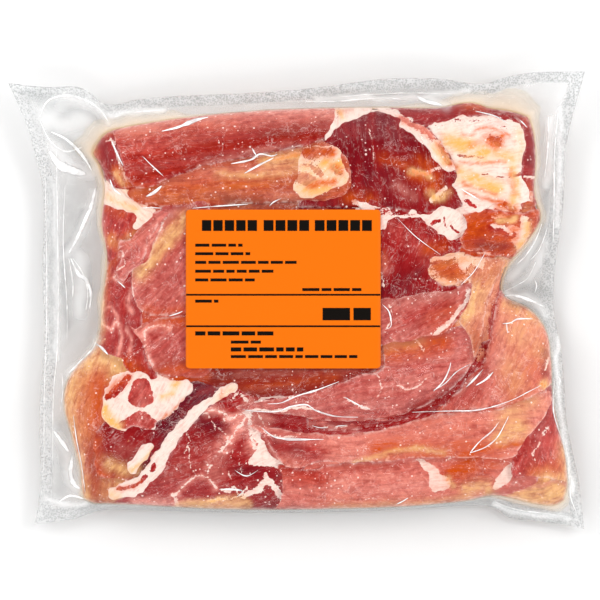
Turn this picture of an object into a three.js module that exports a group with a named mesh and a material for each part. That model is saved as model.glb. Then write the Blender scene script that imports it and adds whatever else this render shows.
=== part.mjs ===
// A vacuum pack of sliced back bacon, lying flat with its labelled face up.
// Millimetres. +X runs along the pack's long side, +Y towards the top of the label, +Z up.
// The origin is on the surface that the pack lies on, under the middle of the pouch's box.
// The bag is one solid, film and slices together. The label is a thin sheet that follows it.
import * as THREE from 'three';

// Heights of the bag
const seamHeight = 14; // where the two films part, at the edge of the meat
const shoulderHeight = 39.5; // top face, one shoulder radius in from the edge of the meat
const crownRise = 3; // more height in the middle of the pack
const crownReach = 85; // distance from the edge of the meat at which the crown is full
const shoulderRadius = 23;
const heelRadius = 14; // round edge of the underside
const roundness = 2.3; // exponent of the shoulder, 2 is an ellipse

// The empty film around the meat
const filmHalfGap = 0.5; // half the thickness at the sealed rim
const webHalfGap = 4; // half the thickness where the films meet the meat
const webReach = 6; // distance over which the films close on each other

// Stations round the pack: edge of the meat (x, y), edge of the pouch (x, y), height of the rim.
// Sides run left to right and bottom to top, and share their corners. The vacuum draws the pouch
// in between its corners. Its bottom seal is turned down, so there it lies close to the meat.
const bottomLeft = [-110.8, -103.5, -137, -116.6, 9];
const bottomRight = [139.6, -104, 150.4, -119.4, 9];
const topLeft = [-101.5, 85.5, -150.4, 113.5, 20];
const topRight = [120.8, 96, 150.4, 119.4, 21];
const stations = {
  bottom: [
    bottomLeft,
    [-106, -105.7, -119, -115, 7],
    [-97, -106.1, -103, -110.2, 5],
    [-80, -106.8, -82, -109.8, 4],
    [-50, -108.5, -50, -110.8, 4],
    [-15, -109.2, -15, -111.1, 4],
    [20, -108.7, 20, -110.8, 4],
    [55, -107.6, 55, -109.5, 4],
    [85, -105, 86, -107.6, 4],
    [102, -101.8, 103, -108.4, 4.5],
    [112, -103.2, 112, -114, 5],
    [124, -106, 128, -115.8, 6],
    [134, -106.9, 141, -117.6, 7.5],
    bottomRight,
  ],
  top: [
    topLeft,
    [-98.5, 88, -131, 111.4, 17],
    [-95, 89.4, -113, 111.2, 14],
    [-90, 90.6, -99, 102.5, 10],
    [-80, 92.4, -83, 105.2, 10],
    [-58, 95.7, -60, 107, 12],
    [-25, 98.9, -26, 108.4, 14],
    [10, 100.5, 9, 111, 15],
    [45, 100.9, 44, 115.6, 15],
    [72, 100.7, 73, 116, 14],
    [90, 103.5, 96, 113.2, 12],
    [101, 100.5, 111, 117.2, 15],
    [112, 98.9, 126, 119.2, 18],
    topRight,
  ],
  left: [
    bottomLeft,
    [-112.2, -98, -134.6, -103, 10],
    [-112.8, -88, -133.8, -88, 10.5],
    [-117, -72, -134.5, -70, 11],
    [-121, -57, -134.3, -55, 12],
    [-120.6, -45, -133.2, -42, 12],
    [-115, -34, -132.2, -28, 12],
    [-104, -21, -131.8, -12, 11],
    [-101.5, 0, -132.7, 5, 10],
    [-99, 22, -133, 22, 9],
    [-102, 40, -132.1, 40, 9.5],
    [-100.3, 58, -133, 60, 11],
    [-103, 70, -136.5, 76, 14],
    [-106.5, 77.5, -141, 92, 17],
    topLeft,
  ],
  right: [
    bottomRight,
    [141.5, -94, 148, -97, 11],
    [140, -78, 144.3, -79, 13],
    [136, -63, 141.3, -64, 14],
    [133.6, -48, 140.1, -48, 13],
    [133, -32, 139.2, -32, 11],
    [130.5, -16, 136.9, -17, 9],
    [122, -4.5, 134.8, -6, 8],
    [108, 3.6, 134.4, 5, 8],
    [110.5, 18, 135.3, 18, 9],
    [120, 30, 137.1, 31, 11],
    [127.5, 43, 138.8, 43, 13],
    [124.3, 56, 139.8, 57, 14],
    [125, 74, 140.3, 76, 15],
    [123.6, 88, 143.3, 93, 18],
    topRight,
  ],
};

// Rolls and creases of the slices on the top face: route, reach to each side, height or depth
const folds = [
  { route: [[-96, 82], [-50, 85], [16, 90]], reach: 11, height: 2.5 }, // top roll
  { route: [[-86, 62], [-50, 69], [2, 76]], reach: 6, height: -3 }, // under the top roll
  { route: [[-78, 56], [-40, 61], [12, 64]], reach: 7, height: 1.5 }, // second fold
  { route: [[-92, 52], [-50, 49], [14, 50]], reach: 6, height: -3 }, // above the label
  { route: [[21, 102], [17, 88], [8, 80]], reach: 5, height: -2.5 }, // end of the top roll
  { route: [[38, 80], [56, 68]], reach: 20, height: 1.5 }, // dark eye of lean
  { route: [[66, 98], [76, 82], [81, 62]], reach: 5, height: -2 }, // between eye and fat
  { route: [[92, 84], [104, 62]], reach: 17, height: 2 }, // pad of fat, top right
  { route: [[84, 46], [104, 52], [122, 54]], reach: 5, height: -2 }, // under the pad
  { route: [[94, 36], [114, 38]], reach: 9, height: 2 }, // knuckle over the notch
  { route: [[60, 8], [88, 22], [112, 21]], reach: 6, height: -2 }, // under the knuckle
  { route: [[116, 4], [103, 2], [98, -12], [95, -26]], reach: 8, height: -6 }, // notch
  { route: [[95, -26], [86, -41], [70, -57], [40, -65], [-20, -64]], reach: 7.5, height: -6 },
  { route: [[-18, -50], [40, -49], [78, -38], [90, -14]], reach: 9, height: 2 }, // roll above it
  { route: [[116, -14], [118, -44]], reach: 14, height: 1.5 }, // right lobe
  { route: [[68, -58], [104, -55], [130, -42]], reach: 5, height: -2 }, // under the lobe
  { route: [[-10, -84], [45, -87], [76, -82]], reach: 6, height: -2.5 }, // in the lowest roll
  { route: [[-84, -38], [-58, -41], [-10, -41]], reach: 7, height: -2.5 }, // below the label
  { route: [[-105, -52], [-98, -84]], reach: 13, height: 1.5 }, // lower left lobe
  { route: [[-96, -103], [-70, -80], [-46, -52]], reach: 6, height: 1.5 }, // strip of fat
  { route: [[-92, 34], [-88, 6], [-94, -24]], reach: 6, height: -2.5 }, // left of the label
];

// Label, stuck to the film over the slices
const label = {
  width: 101,
  height: 82.3,
  centre: [-6.9, 6],
  cornerRadius: 2,
  thickness: 0.5,
  gap: 0.3, // clearance to the film
  foldsLeft: 0.2, // share of the folds that still shows under it
  stiffMargin: 9, // distance from its edge over which the folds come back
};

// Mesh steps
const acrossSteps = 56;
const alongSteps = 46;
const flangeSteps = [0, 0.2, 0.45, 0.75, 1];
const heelSteps = [0, 0.005, 0.016, 0.035, 0.075];
const edgeGrading = 0.6; // 0 spreads the steps evenly, 1 crowds them at the edge
const outlineSteps = 60;
const labelSteps = [22, 14];
const routeSteps = 5; // for each named point of a fold's route
const cornerSteps = [0, 0.12, 0.4, 1];

const sideNames = ['bottom', 'top', 'left', 'right'];

function curveThrough(points) {
  return new THREE.SplineCurve(points.map(([x, y]) => new THREE.Vector2(x, y)));
}

// One curve for each side, through the same columns of its stations
function sideCurves(columns) {
  const sideCurve = (name) => curveThrough(stations[name].map(columns));
  return Object.fromEntries(sideNames.map((name) => [name, sideCurve(name)]));
}

const meatCurves = sideCurves(([x, y]) => [x, y]);
const pouchCurves = sideCurves(([, , x, y]) => [x, y]);
const rimCurves = sideCurves(([, , , , z]) => [0, z]);

// Steps from 0 to 1 that crowd towards both ends
function gradedStep(index, count) {
  const even = index / count;
  const crowded = (1 - Math.cos(Math.PI * even)) / 2;
  return even + (crowded - even) * edgeGrading;
}

// A patch filled between four side curves
function patchPoint(curves, u, v) {
  const bottom = curves.bottom.getPointAt(u);
  const top = curves.top.getPointAt(u);
  const left = curves.left.getPointAt(v);
  const right = curves.right.getPointAt(v);
  const ends = [curves.bottom.getPointAt(0), curves.bottom.getPointAt(1),
    curves.top.getPointAt(0), curves.top.getPointAt(1)];
  const blend = (axis) => (1 - v) * bottom[axis] + v * top[axis]
    + (1 - u) * left[axis] + u * right[axis]
    - (1 - u) * (1 - v) * ends[0][axis] - u * (1 - v) * ends[1][axis]
    - (1 - u) * v * ends[2][axis] - u * v * ends[3][axis];
  return new THREE.Vector2(blend('x'), blend('y'));
}

// The edge of the meat as a closed run of points, counter-clockwise
function closedOutline(curves, steps) {
  const points = [];
  for (const [name, forwards] of [['bottom', true], ['right', true], ['top', false], ['left', false]]) {
    for (let i = 0; i < steps; i += 1) {
      points.push(curves[name].getPointAt(forwards ? i / steps : 1 - i / steps));
    }
  }
  return points;
}

function segmentDistance(point, start, end) {
  const run = end.clone().sub(start);
  const along = THREE.MathUtils.clamp(point.clone().sub(start).dot(run) / run.lengthSq(), 0, 1);
  return point.distanceTo(start.clone().addScaledVector(run, along));
}

const meatOutline = closedOutline(meatCurves, outlineSteps);

function distanceToMeatEdge(point) {
  let nearest = Infinity;
  meatOutline.forEach((start, i) => {
    const end = meatOutline[(i + 1) % meatOutline.length];
    nearest = Math.min(nearest, segmentDistance(point, start, end));
  });
  return nearest;
}

// Each fold's route as short straight steps
const foldRoutes = folds.map(({ route }) => curveThrough(route).getPoints(route.length * routeSteps));

// 1 on the label and 0 well outside it
function underLabel(point) {
  const beyondX = Math.abs(point.x - label.centre[0]) - label.width / 2;
  const beyondY = Math.abs(point.y - label.centre[1]) - label.height / 2;
  const beyond = Math.max(beyondX, beyondY);
  return 1 - THREE.MathUtils.smoothstep(beyond, 0, label.stiffMargin);
}

function foldRelief(point) {
  let relief = 0;
  folds.forEach(({ reach, height }, i) => {
    const route = foldRoutes[i];
    let nearest = Infinity;
    for (let k = 1; k < route.length; k += 1) {
      nearest = Math.min(nearest, segmentDistance(point, route[k - 1], route[k]));
    }
    relief += height * Math.exp(-((nearest / reach) ** 2));
  });
  return relief * (1 - underLabel(point) * (1 - label.foldsLeft));
}

// Height of the top face over the meat
function topHeight(point) {
  const inset = distanceToMeatEdge(point);
  const start = seamHeight + webHalfGap;
  const across = Math.min(inset / shoulderRadius, 1);
  const rounded = (1 - (1 - across) ** roundness) ** (1 / roundness);
  const crown = crownRise * THREE.MathUtils.smoothstep(inset, 0, crownReach);
  const spread = THREE.MathUtils.smoothstep(inset, 0, shoulderRadius);
  return start + (shoulderHeight - start) * rounded + crown + foldRelief(point) * spread;
}

// Height of the underside over the meat, which ends in the flat that the pack rests on
function heelHeight(point) {
  const across = Math.min(distanceToMeatEdge(point) / heelRadius, 1);
  return (seamHeight - webHalfGap) * (1 - Math.sqrt(1 - (1 - across) ** 2));
}

// A closed solid is collected here, vertex by vertex
class SolidBuilder {
  constructor() {
    this.positions = [];
    this.faces = [];
  }

  vertex(x, y, z) {
    this.positions.push(x, y, z);
    return this.positions.length / 3 - 1;
  }

  quad(a, b, c, d) {
    this.faces.push(a, b, c, a, c, d);
  }

  // Joins two closed loops of the same length
  band(lower, upper) {
    lower.forEach((corner, i) => {
      const next = (i + 1) % lower.length;
      this.quad(corner, lower[next], upper[next], upper[i]);
    });
  }

  geometry() {
    const geometry = new THREE.BufferGeometry();
    geometry.setAttribute('position', new THREE.Float32BufferAttribute(this.positions, 3));
    geometry.setIndex(this.faces);
    geometry.computeVertexNormals();
    return geometry;
  }
}

// The four sides as one counter-clockwise loop of places: side name, step, and patch place
function loopPlaces() {
  const places = [];
  for (let i = 0; i < acrossSteps; i += 1) {
    places.push({ side: 'bottom', along: gradedStep(i, acrossSteps), column: i, row: 0 });
  }
  for (let j = 0; j < alongSteps; j += 1) {
    places.push({ side: 'right', along: gradedStep(j, alongSteps), column: acrossSteps, row: j });
  }
  for (let i = acrossSteps; i > 0; i -= 1) {
    places.push({ side: 'top', along: gradedStep(i, acrossSteps), column: i, row: alongSteps });
  }
  for (let j = alongSteps; j > 0; j -= 1) {
    places.push({ side: 'left', along: gradedStep(j, alongSteps), column: 0, row: j });
  }
  return places;
}

// Middle height and half thickness of the empty film, from the meat's edge (0) to the rim (1)
function flangePlace({ side, along }, outwards) {
  const station = meatCurves[side].getUtoTmapping(along);
  const inner = meatCurves[side].getPoint(station);
  const outer = pouchCurves[side].getPoint(station);
  const point = inner.clone().lerp(outer, outwards);
  const rim = rimCurves[side].getPoint(station).y;
  const middle = THREE.MathUtils.lerp(seamHeight, rim, THREE.MathUtils.smoothstep(outwards, 0, 1));
  const away = inner.distanceTo(point);
  const half = filmHalfGap + (webHalfGap - filmHalfGap) * Math.exp(-away / webReach);
  return { point, middle, half };
}

function flangeLoops(solid, places, faceSign) {
  return flangeSteps.map((outwards) => places.map((place) => {
    const { point, middle, half } = flangePlace(place, outwards);
    return solid.vertex(point.x, point.y, middle + faceSign * half);
  }));
}

function bagGeometry() {
  const solid = new SolidBuilder();
  const places = loopPlaces();

  // Top: the empty film, then the face over the meat
  const topLoops = flangeLoops(solid, places, 1);
  for (let k = 1; k < topLoops.length; k += 1) {
    solid.band(topLoops[k], topLoops[k - 1]);
  }
  const grid = Array.from({ length: acrossSteps + 1 }, () => new Array(alongSteps + 1));
  places.forEach(({ column, row }, i) => {
    grid[column][row] = topLoops[0][i];
  });
  for (let i = 1; i < acrossSteps; i += 1) {
    for (let j = 1; j < alongSteps; j += 1) {
      const point = patchPoint(meatCurves, gradedStep(i, acrossSteps), gradedStep(j, alongSteps));
      grid[i][j] = solid.vertex(point.x, point.y, topHeight(point));
    }
  }
  for (let i = 0; i < acrossSteps; i += 1) {
    for (let j = 0; j < alongSteps; j += 1) {
      solid.quad(grid[i][j], grid[i + 1][j], grid[i + 1][j + 1], grid[i][j + 1]);
    }
  }

  // Rim, and the empty film seen from below
  const underLoops = flangeLoops(solid, places, -1);
  const rim = flangeSteps.length - 1;
  solid.band(underLoops[rim], topLoops[rim]);
  for (let k = 1; k < underLoops.length; k += 1) {
    solid.band(underLoops[k - 1], underLoops[k]);
  }

  // Round heel, then the flat that the pack rests on
  let outerLoop = underLoops[0];
  for (const inset of heelSteps.slice(1)) {
    const isFlat = inset === heelSteps.at(-1);
    const loop = places.map(({ column, row }) => {
      const u = inset + (1 - 2 * inset) * gradedStep(column, acrossSteps);
      const v = inset + (1 - 2 * inset) * gradedStep(row, alongSteps);
      const point = patchPoint(meatCurves, u, v);
      return solid.vertex(point.x, point.y, isFlat ? 0 : heelHeight(point));
    });
    solid.band(loop, outerLoop);
    outerLoop = loop;
  }
  const middle = solid.vertex(0, 0, 0);
  outerLoop.forEach((corner, i) => {
    solid.faces.push(middle, outerLoop[(i + 1) % outerLoop.length], corner);
  });
  return solid.geometry();
}

// Places across the label's height, with close rows at its rounded corners
function labelRows() {
  const half = label.height / 2;
  const corner = cornerSteps.map((step) => half - label.cornerRadius * step);
  const rows = corner.map((y) => -y);
  for (let j = 1; j < labelSteps[1]; j += 1) {
    rows.push((half - label.cornerRadius) * ((2 * j) / labelSteps[1] - 1));
  }
  return rows.concat(corner.reverse());
}

function labelGeometry() {
  const solid = new SolidBuilder();
  const rows = labelRows();
  const columns = labelSteps[0];
  const faceGrid = (lift) => rows.map((y) => {
    const intoCorner = Math.abs(y) - (label.height / 2 - label.cornerRadius);
    const pulledIn = intoCorner > 0
      ? label.cornerRadius - Math.sqrt(label.cornerRadius ** 2 - intoCorner ** 2)
      : 0;
    const halfWidth = label.width / 2 - pulledIn;
    return Array.from({ length: columns + 1 }, (_, i) => {
      const x = halfWidth * ((2 * i) / columns - 1);
      const point = new THREE.Vector2(label.centre[0] + x, label.centre[1] + y);
      return solid.vertex(point.x, point.y, topHeight(point) + label.gap + lift);
    });
  });
  const face = faceGrid(label.thickness);
  const back = faceGrid(0);
  for (let j = 1; j < rows.length; j += 1) {
    for (let i = 0; i < columns; i += 1) {
      solid.quad(face[j - 1][i], face[j - 1][i + 1], face[j][i + 1], face[j][i]);
      solid.quad(back[j - 1][i], back[j][i], back[j][i + 1], back[j - 1][i + 1]);
    }
  }
  const edgeLoop = (grid) => [
    ...grid[0],
    ...grid.slice(1).map((row) => row.at(-1)),
    ...grid.at(-1).slice(0, -1).reverse(),
    ...grid.slice(1, -1).map((row) => row[0]).reverse(),
  ];
  solid.band(edgeLoop(back), edgeLoop(face));
  return solid.geometry();
}

function namedMesh(name, geometry, color, roughness, metalness) {
  const material = new THREE.MeshStandardMaterial({ color, roughness, metalness });
  const mesh = new THREE.Mesh(geometry, material);
  mesh.name = name;
  return mesh;
}

const pack = new THREE.Group();
pack.add(namedMesh('bag', bagGeometry(), 0xb5464a, 0.3, 0));
pack.add(namedMesh('label', labelGeometry(), 0xff8200, 0.45, 0));

export default pack;
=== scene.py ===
import math
from functools import partial

import bpy
import numpy as np
from mathutils.bvhtree import BVHTree
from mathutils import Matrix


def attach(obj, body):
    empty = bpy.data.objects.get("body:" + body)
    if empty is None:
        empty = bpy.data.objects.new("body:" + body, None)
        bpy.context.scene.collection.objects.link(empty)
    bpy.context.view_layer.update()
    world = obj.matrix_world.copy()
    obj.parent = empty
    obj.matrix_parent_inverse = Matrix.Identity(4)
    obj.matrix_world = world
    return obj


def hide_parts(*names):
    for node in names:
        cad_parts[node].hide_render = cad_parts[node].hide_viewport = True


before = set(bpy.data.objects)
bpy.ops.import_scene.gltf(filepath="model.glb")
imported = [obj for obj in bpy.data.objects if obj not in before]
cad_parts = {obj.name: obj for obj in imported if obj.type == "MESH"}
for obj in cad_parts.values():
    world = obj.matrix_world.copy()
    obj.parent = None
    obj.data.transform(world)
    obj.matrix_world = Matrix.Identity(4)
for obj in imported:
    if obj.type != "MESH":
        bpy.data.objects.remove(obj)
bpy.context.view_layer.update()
print(f"frame loaded with {len(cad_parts)} nodes")

# Form of the bag, as in the CAD source
seamHeight = 14.0
shoulderHeight = 39.5
crownRise = 3.0
crownReach = 85.0
shoulderRadius = 23.0
heelRadius = 14.0
roundness = 2.3
filmHalfGap = 0.5
webHalfGap = 4.0
webReach = 6.0
bottomLeft = [-110.8, -103.5, -137, -116.6, 9]
bottomRight = [139.6, -104, 150.4, -119.4, 9]
topLeft = [-101.5, 85.5, -150.4, 113.5, 20]
topRight = [120.8, 96, 150.4, 119.4, 21]
# Edge of the meat (x, y), edge of the pouch (x, y), height of the rim
stations = {
    "bottom": [
        bottomLeft, [-106, -105.7, -119, -115, 7], [-97, -106.1, -103, -110.2, 5],
        [-80, -106.8, -82, -109.8, 4], [-50, -108.5, -50, -110.8, 4],
        [-15, -109.2, -15, -111.1, 4], [20, -108.7, 20, -110.8, 4],
        [55, -107.6, 55, -109.5, 4], [85, -105, 86, -107.6, 4],
        [102, -101.8, 103, -108.4, 4.5], [112, -103.2, 112, -114, 5],
        [124, -106, 128, -115.8, 6], [134, -106.9, 141, -117.6, 7.5], bottomRight,
    ],
    "top": [
        topLeft, [-98.5, 88, -131, 111.4, 17], [-95, 89.4, -113, 111.2, 14],
        [-90, 90.6, -99, 102.5, 10], [-80, 92.4, -83, 105.2, 10], [-58, 95.7, -60, 107, 12],
        [-25, 98.9, -26, 108.4, 14], [10, 100.5, 9, 111, 15], [45, 100.9, 44, 115.6, 15],
        [72, 100.7, 73, 116, 14], [90, 103.5, 96, 113.2, 12], [101, 100.5, 111, 117.2, 15],
        [112, 98.9, 126, 119.2, 18], topRight,
    ],
    "left": [
        bottomLeft, [-112.2, -98, -134.6, -103, 10], [-112.8, -88, -133.8, -88, 10.5],
        [-117, -72, -134.5, -70, 11], [-121, -57, -134.3, -55, 12],
        [-120.6, -45, -133.2, -42, 12], [-115, -34, -132.2, -28, 12],
        [-104, -21, -131.8, -12, 11], [-101.5, 0, -132.7, 5, 10], [-99, 22, -133, 22, 9],
        [-102, 40, -132.1, 40, 9.5], [-100.3, 58, -133, 60, 11], [-103, 70, -136.5, 76, 14],
        [-106.5, 77.5, -141, 92, 17], topLeft,
    ],
    "right": [
        bottomRight, [141.5, -94, 148, -97, 11], [140, -78, 144.3, -79, 13],
        [136, -63, 141.3, -64, 14], [133.6, -48, 140.1, -48, 13], [133, -32, 139.2, -32, 11],
        [130.5, -16, 136.9, -17, 9], [122, -4.5, 134.8, -6, 8], [108, 3.6, 134.4, 5, 8],
        [110.5, 18, 135.3, 18, 9], [120, 30, 137.1, 31, 11], [127.5, 43, 138.8, 43, 13],
        [124.3, 56, 139.8, 57, 14], [125, 74, 140.3, 76, 15], [123.6, 88, 143.3, 93, 18],
        topRight,
    ],
}
# Folds of the top face: reach to each side, height or depth, route
folds = [
    (11, 2.5, [[-96, 82], [-50, 85], [16, 90]]),
    (6, -3, [[-86, 62], [-50, 69], [2, 76]]),
    (7, 1.5, [[-78, 56], [-40, 61], [12, 64]]),
    (6, -3, [[-92, 52], [-50, 49], [14, 50]]),
    (5, -2.5, [[21, 102], [17, 88], [8, 80]]),
    (20, 1.5, [[38, 80], [56, 68]]),
    (5, -2, [[66, 98], [76, 82], [81, 62]]),
    (17, 2, [[92, 84], [104, 62]]),
    (5, -2, [[84, 46], [104, 52], [122, 54]]),
    (9, 2, [[94, 36], [114, 38]]),
    (6, -2, [[60, 8], [88, 22], [112, 21]]),
    (8, -6, [[116, 4], [103, 2], [98, -12], [95, -26]]),
    (7.5, -6, [[95, -26], [86, -41], [70, -57], [40, -65], [-20, -64]]),
    (9, 2, [[-18, -50], [40, -49], [78, -38], [90, -14]]),
    (14, 1.5, [[116, -14], [118, -44]]),
    (5, -2, [[68, -58], [104, -55], [130, -42]]),
    (6, -2.5, [[-10, -84], [45, -87], [76, -82]]),
    (7, -2.5, [[-84, -38], [-58, -41], [-10, -41]]),
    (13, 1.5, [[-105, -52], [-98, -84]]),
    (6, 1.5, [[-96, -103], [-70, -80], [-46, -52]]),
    (6, -2.5, [[-92, 34], [-88, 6], [-94, -24]]),
]
labelForm = {
    "width": 101,
    "height": 82.3,
    "centre": (-6.9, 6),
    "cornerRadius": 2,
    "thickness": 0.5,
    "gap": 0.3,  # between the film and the label
    "foldsLeft": 0.2,  # share of the folds that shows through the label
    "stiffMargin": 9,  # the film comes free of the label over this width
}


def smoothstep(value, low, high):
    share = np.clip((value - low) / (high - low), 0, 1)
    return share * share * (3 - 2 * share)


latticeSize = 128


# Random heights from -1 to 1 on a lattice of this size, joined smoothly
def softNoise(points, size, seed):
    lattice = np.random.default_rng(seed).uniform(-1, 1, (latticeSize, latticeSize))
    place = np.asarray(points)[..., :2] / size + 400  # far enough that no place is below zero
    cell = np.floor(place).astype(int)
    part = place - cell
    part = part * part * (3 - 2 * part)
    i, j = cell[..., 0] % latticeSize, cell[..., 1] % latticeSize
    nextI, nextJ = (i + 1) % latticeSize, (j + 1) % latticeSize
    near = lattice[i, j] * (1 - part[..., 0]) + lattice[nextI, j] * part[..., 0]
    far = lattice[i, nextJ] * (1 - part[..., 0]) + lattice[nextI, nextJ] * part[..., 0]
    return near * (1 - part[..., 1]) + far * part[..., 1]


# A smooth curve through points, at places from 0 to 1
def curvePoints(points, places):
    points = np.asarray(points, float)
    steps = len(points) - 1
    position = np.clip(places, 0, 1) * steps
    index = np.minimum(position.astype(int), steps - 1)
    part = (position - index)[:, None]
    before = points[np.maximum(index - 1, 0)]
    start, end = points[index], points[index + 1]
    after = points[np.minimum(index + 2, steps)]
    leave, arrive = (end - before) / 2, (after - start) / 2
    cubic = 2 * start - 2 * end + leave + arrive
    square = -3 * start + 3 * end - 2 * leave - arrive
    return cubic * part**3 + square * part**2 + leave * part + start


# Places that are evenly spaced along the curve's length
def evenPlaces(points, shares):
    samples = np.linspace(0, 1, 401)
    runs = np.linalg.norm(np.diff(curvePoints(points, samples), axis=0), axis=1)
    length = np.concatenate([[0], np.cumsum(runs)])
    return np.interp(np.asarray(shares) * length[-1], length, samples)


def smoothRoute(points, spacing=1.0):
    points = np.asarray(points, float)
    length = np.linalg.norm(np.diff(points, axis=0), axis=1).sum()
    shares = np.linspace(0, 1, max(int(length / spacing), 4) + 1)
    return curvePoints(points, evenPlaces(points, shares))


# A closed smooth outline through corner points
def closedOutline(points, spacing=1.5):
    points = [list(p) for p in points]
    wrapped = np.asarray(points[-2:] + points + points[:2], float)
    count = len(points)
    length = np.linalg.norm(np.diff(wrapped[1:-1], axis=0), axis=1).sum()
    shares = np.linspace(0, 1, int(length / spacing) + 8, endpoint=False)
    return curvePoints(wrapped, (2 + shares * count) / (count + 3))


def routeDistance(points, route):
    nearest = np.full(len(points), 1e9)
    for start, end in zip(route[:-1], route[1:]):
        run = end - start
        along = np.clip(((points - start) @ run) / max(run @ run, 1e-9), 0, 1)
        gap = points - start - along[:, None] * run
        nearest = np.minimum(nearest, gap[:, 0] ** 2 + gap[:, 1] ** 2)
    return np.sqrt(nearest)


# Distance to a closed outline, positive inside it
def insetFrom(points, outline):
    closed = np.vstack([outline, outline[:1]])
    inside = np.zeros(len(points), bool)
    for (x1, y1), (x2, y2) in zip(closed[:-1], closed[1:]):
        if y1 == y2:
            continue
        crosses = (y1 > points[:, 1]) != (y2 > points[:, 1])
        inside ^= crosses & (points[:, 0] < (x2 - x1) * (points[:, 1] - y1) / (y2 - y1) + x1)
    return np.where(inside, 1, -1) * routeDistance(points, closed)


meatSides = {name: [s[:2] for s in rows] for name, rows in stations.items()}
pouchSides = {name: [s[2:4] for s in rows] for name, rows in stations.items()}
rimSides = {name: [[0, s[4]] for s in rows] for name, rows in stations.items()}
foldRoutes = [curvePoints(route, np.linspace(0, 1, len(route) * 5 + 1)) for _, _, route in folds]


def sideRun(sides, name, shares):
    return curvePoints(sides[name], evenPlaces(sides[name], shares))


# A patch filled between the four sides of the meat, for all pairs of the shares u and v
def meatPatch(u, v):
    bottom, top = sideRun(meatSides, "bottom", u)[:, None], sideRun(meatSides, "top", u)[:, None]
    left, right = sideRun(meatSides, "left", v)[None], sideRun(meatSides, "right", v)[None]
    u, v = np.asarray(u)[:, None, None], np.asarray(v)[None, :, None]
    corners = [np.array(c[:2], float) for c in (bottomLeft, bottomRight, topLeft, topRight)]
    shared = (1 - u) * (1 - v) * corners[0] + u * (1 - v) * corners[1]
    shared = shared + (1 - u) * v * corners[2] + u * v * corners[3]
    return (1 - v) * bottom + v * top + (1 - u) * left + u * right - shared


sideSteps = np.arange(60) / 60
meatOutline = np.vstack([
    sideRun(meatSides, "bottom", sideSteps),
    sideRun(meatSides, "right", sideSteps),
    sideRun(meatSides, "top", 1 - sideSteps),
    sideRun(meatSides, "left", 1 - sideSteps),
])


def underLabel(points):
    beyondX = np.abs(points[:, 0] - labelForm["centre"][0]) - labelForm["width"] / 2
    beyondY = np.abs(points[:, 1] - labelForm["centre"][1]) - labelForm["height"] / 2
    return 1 - smoothstep(np.maximum(beyondX, beyondY), 0, labelForm["stiffMargin"])


# Height of the film over the meat, and distance from the edge of the meat
def topHeight(points):
    points = np.asarray(points, float)
    inset = np.maximum(insetFrom(points, meatOutline), 0)
    relief = np.zeros(len(points))
    for (reach, height, _), route in zip(folds, foldRoutes):
        relief += height * np.exp(-((routeDistance(points, route) / reach) ** 2))
    relief *= 1 - underLabel(points) * (1 - labelForm["foldsLeft"])
    start = seamHeight + webHalfGap
    rounded = (1 - (1 - np.minimum(inset / shoulderRadius, 1)) ** roundness) ** (1 / roundness)
    crown = crownRise * smoothstep(inset, 0, crownReach)
    spread = smoothstep(inset, 0, shoulderRadius)
    return start + (shoulderHeight - start) * rounded + crown + relief * spread, inset


# Marks painted on a slice: a stroke fades with distance from its route, a patch fills its area
def stroke(paint, amount, reach, *route):
    return {"paint": paint, "amount": amount, "reach": reach, "route": route}


def patch(paint, amount, soft, *area):
    return {"paint": paint, "amount": amount, "soft": soft, "area": area}


slices = []


# A slice or a piece of fat: its lift above the stack, the direction of its fibres in degrees, its
# base paint, its outline and the marks on it
def addSlice(name, lift, fibres, base, outline, *marks):
    slices.append({
        "name": name, "lift": lift, "fibres": fibres, "base": base, "outline": outline, "marks": marks,
    })


# Top slices, lowest first, traced from the photo in millimetres. Paints run from 0 to 1: deep, cool,
# pale, warm and gold are tones of cured lean and fat is fat, but the deep and cool paints are also
# painted shade along the valleys and beside the label, and the pale paint is also painted sheen and
# reflection of the film.
addSlice(
    "LowerLeftLobe", 0.35, 75, {"gold": 0.62, "warm": 0.42},
    [(-121, -42), (-113, -32), (-104, -20), (-92, -22), (-84, -34), (-82, -60), (-88, -80), (-92, -107),
     (-112, -107), (-116, -90), (-119, -75), (-123, -58)],
    stroke("warm", 1, 9, (-104, -44), (-104, -62)),
    stroke("gold", 0.05, 9, (-103, -44), (-104, -64)),
    stroke("warm", 0.35, 9, (-107, -80), (-106, -104)),
    stroke("gold", 0.1, 9, (-106, -78), (-106, -104)),
    stroke("deep", 0.7, 9, (-105, -84), (-105, -104)),
    stroke("warm", 0.3, 5, (-105, -88), (-105, -98)),
    stroke("gold", 0.9, 4, (-121, -42), (-122, -58), (-118, -74), (-113, -92), (-111, -106)),
    stroke("pale", 0.7, 3, (-117, -58), (-115, -72), (-111, -90)),
    stroke("gold", 1, 6, (-110, -31), (-100, -26), (-90, -33)),
)
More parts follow.
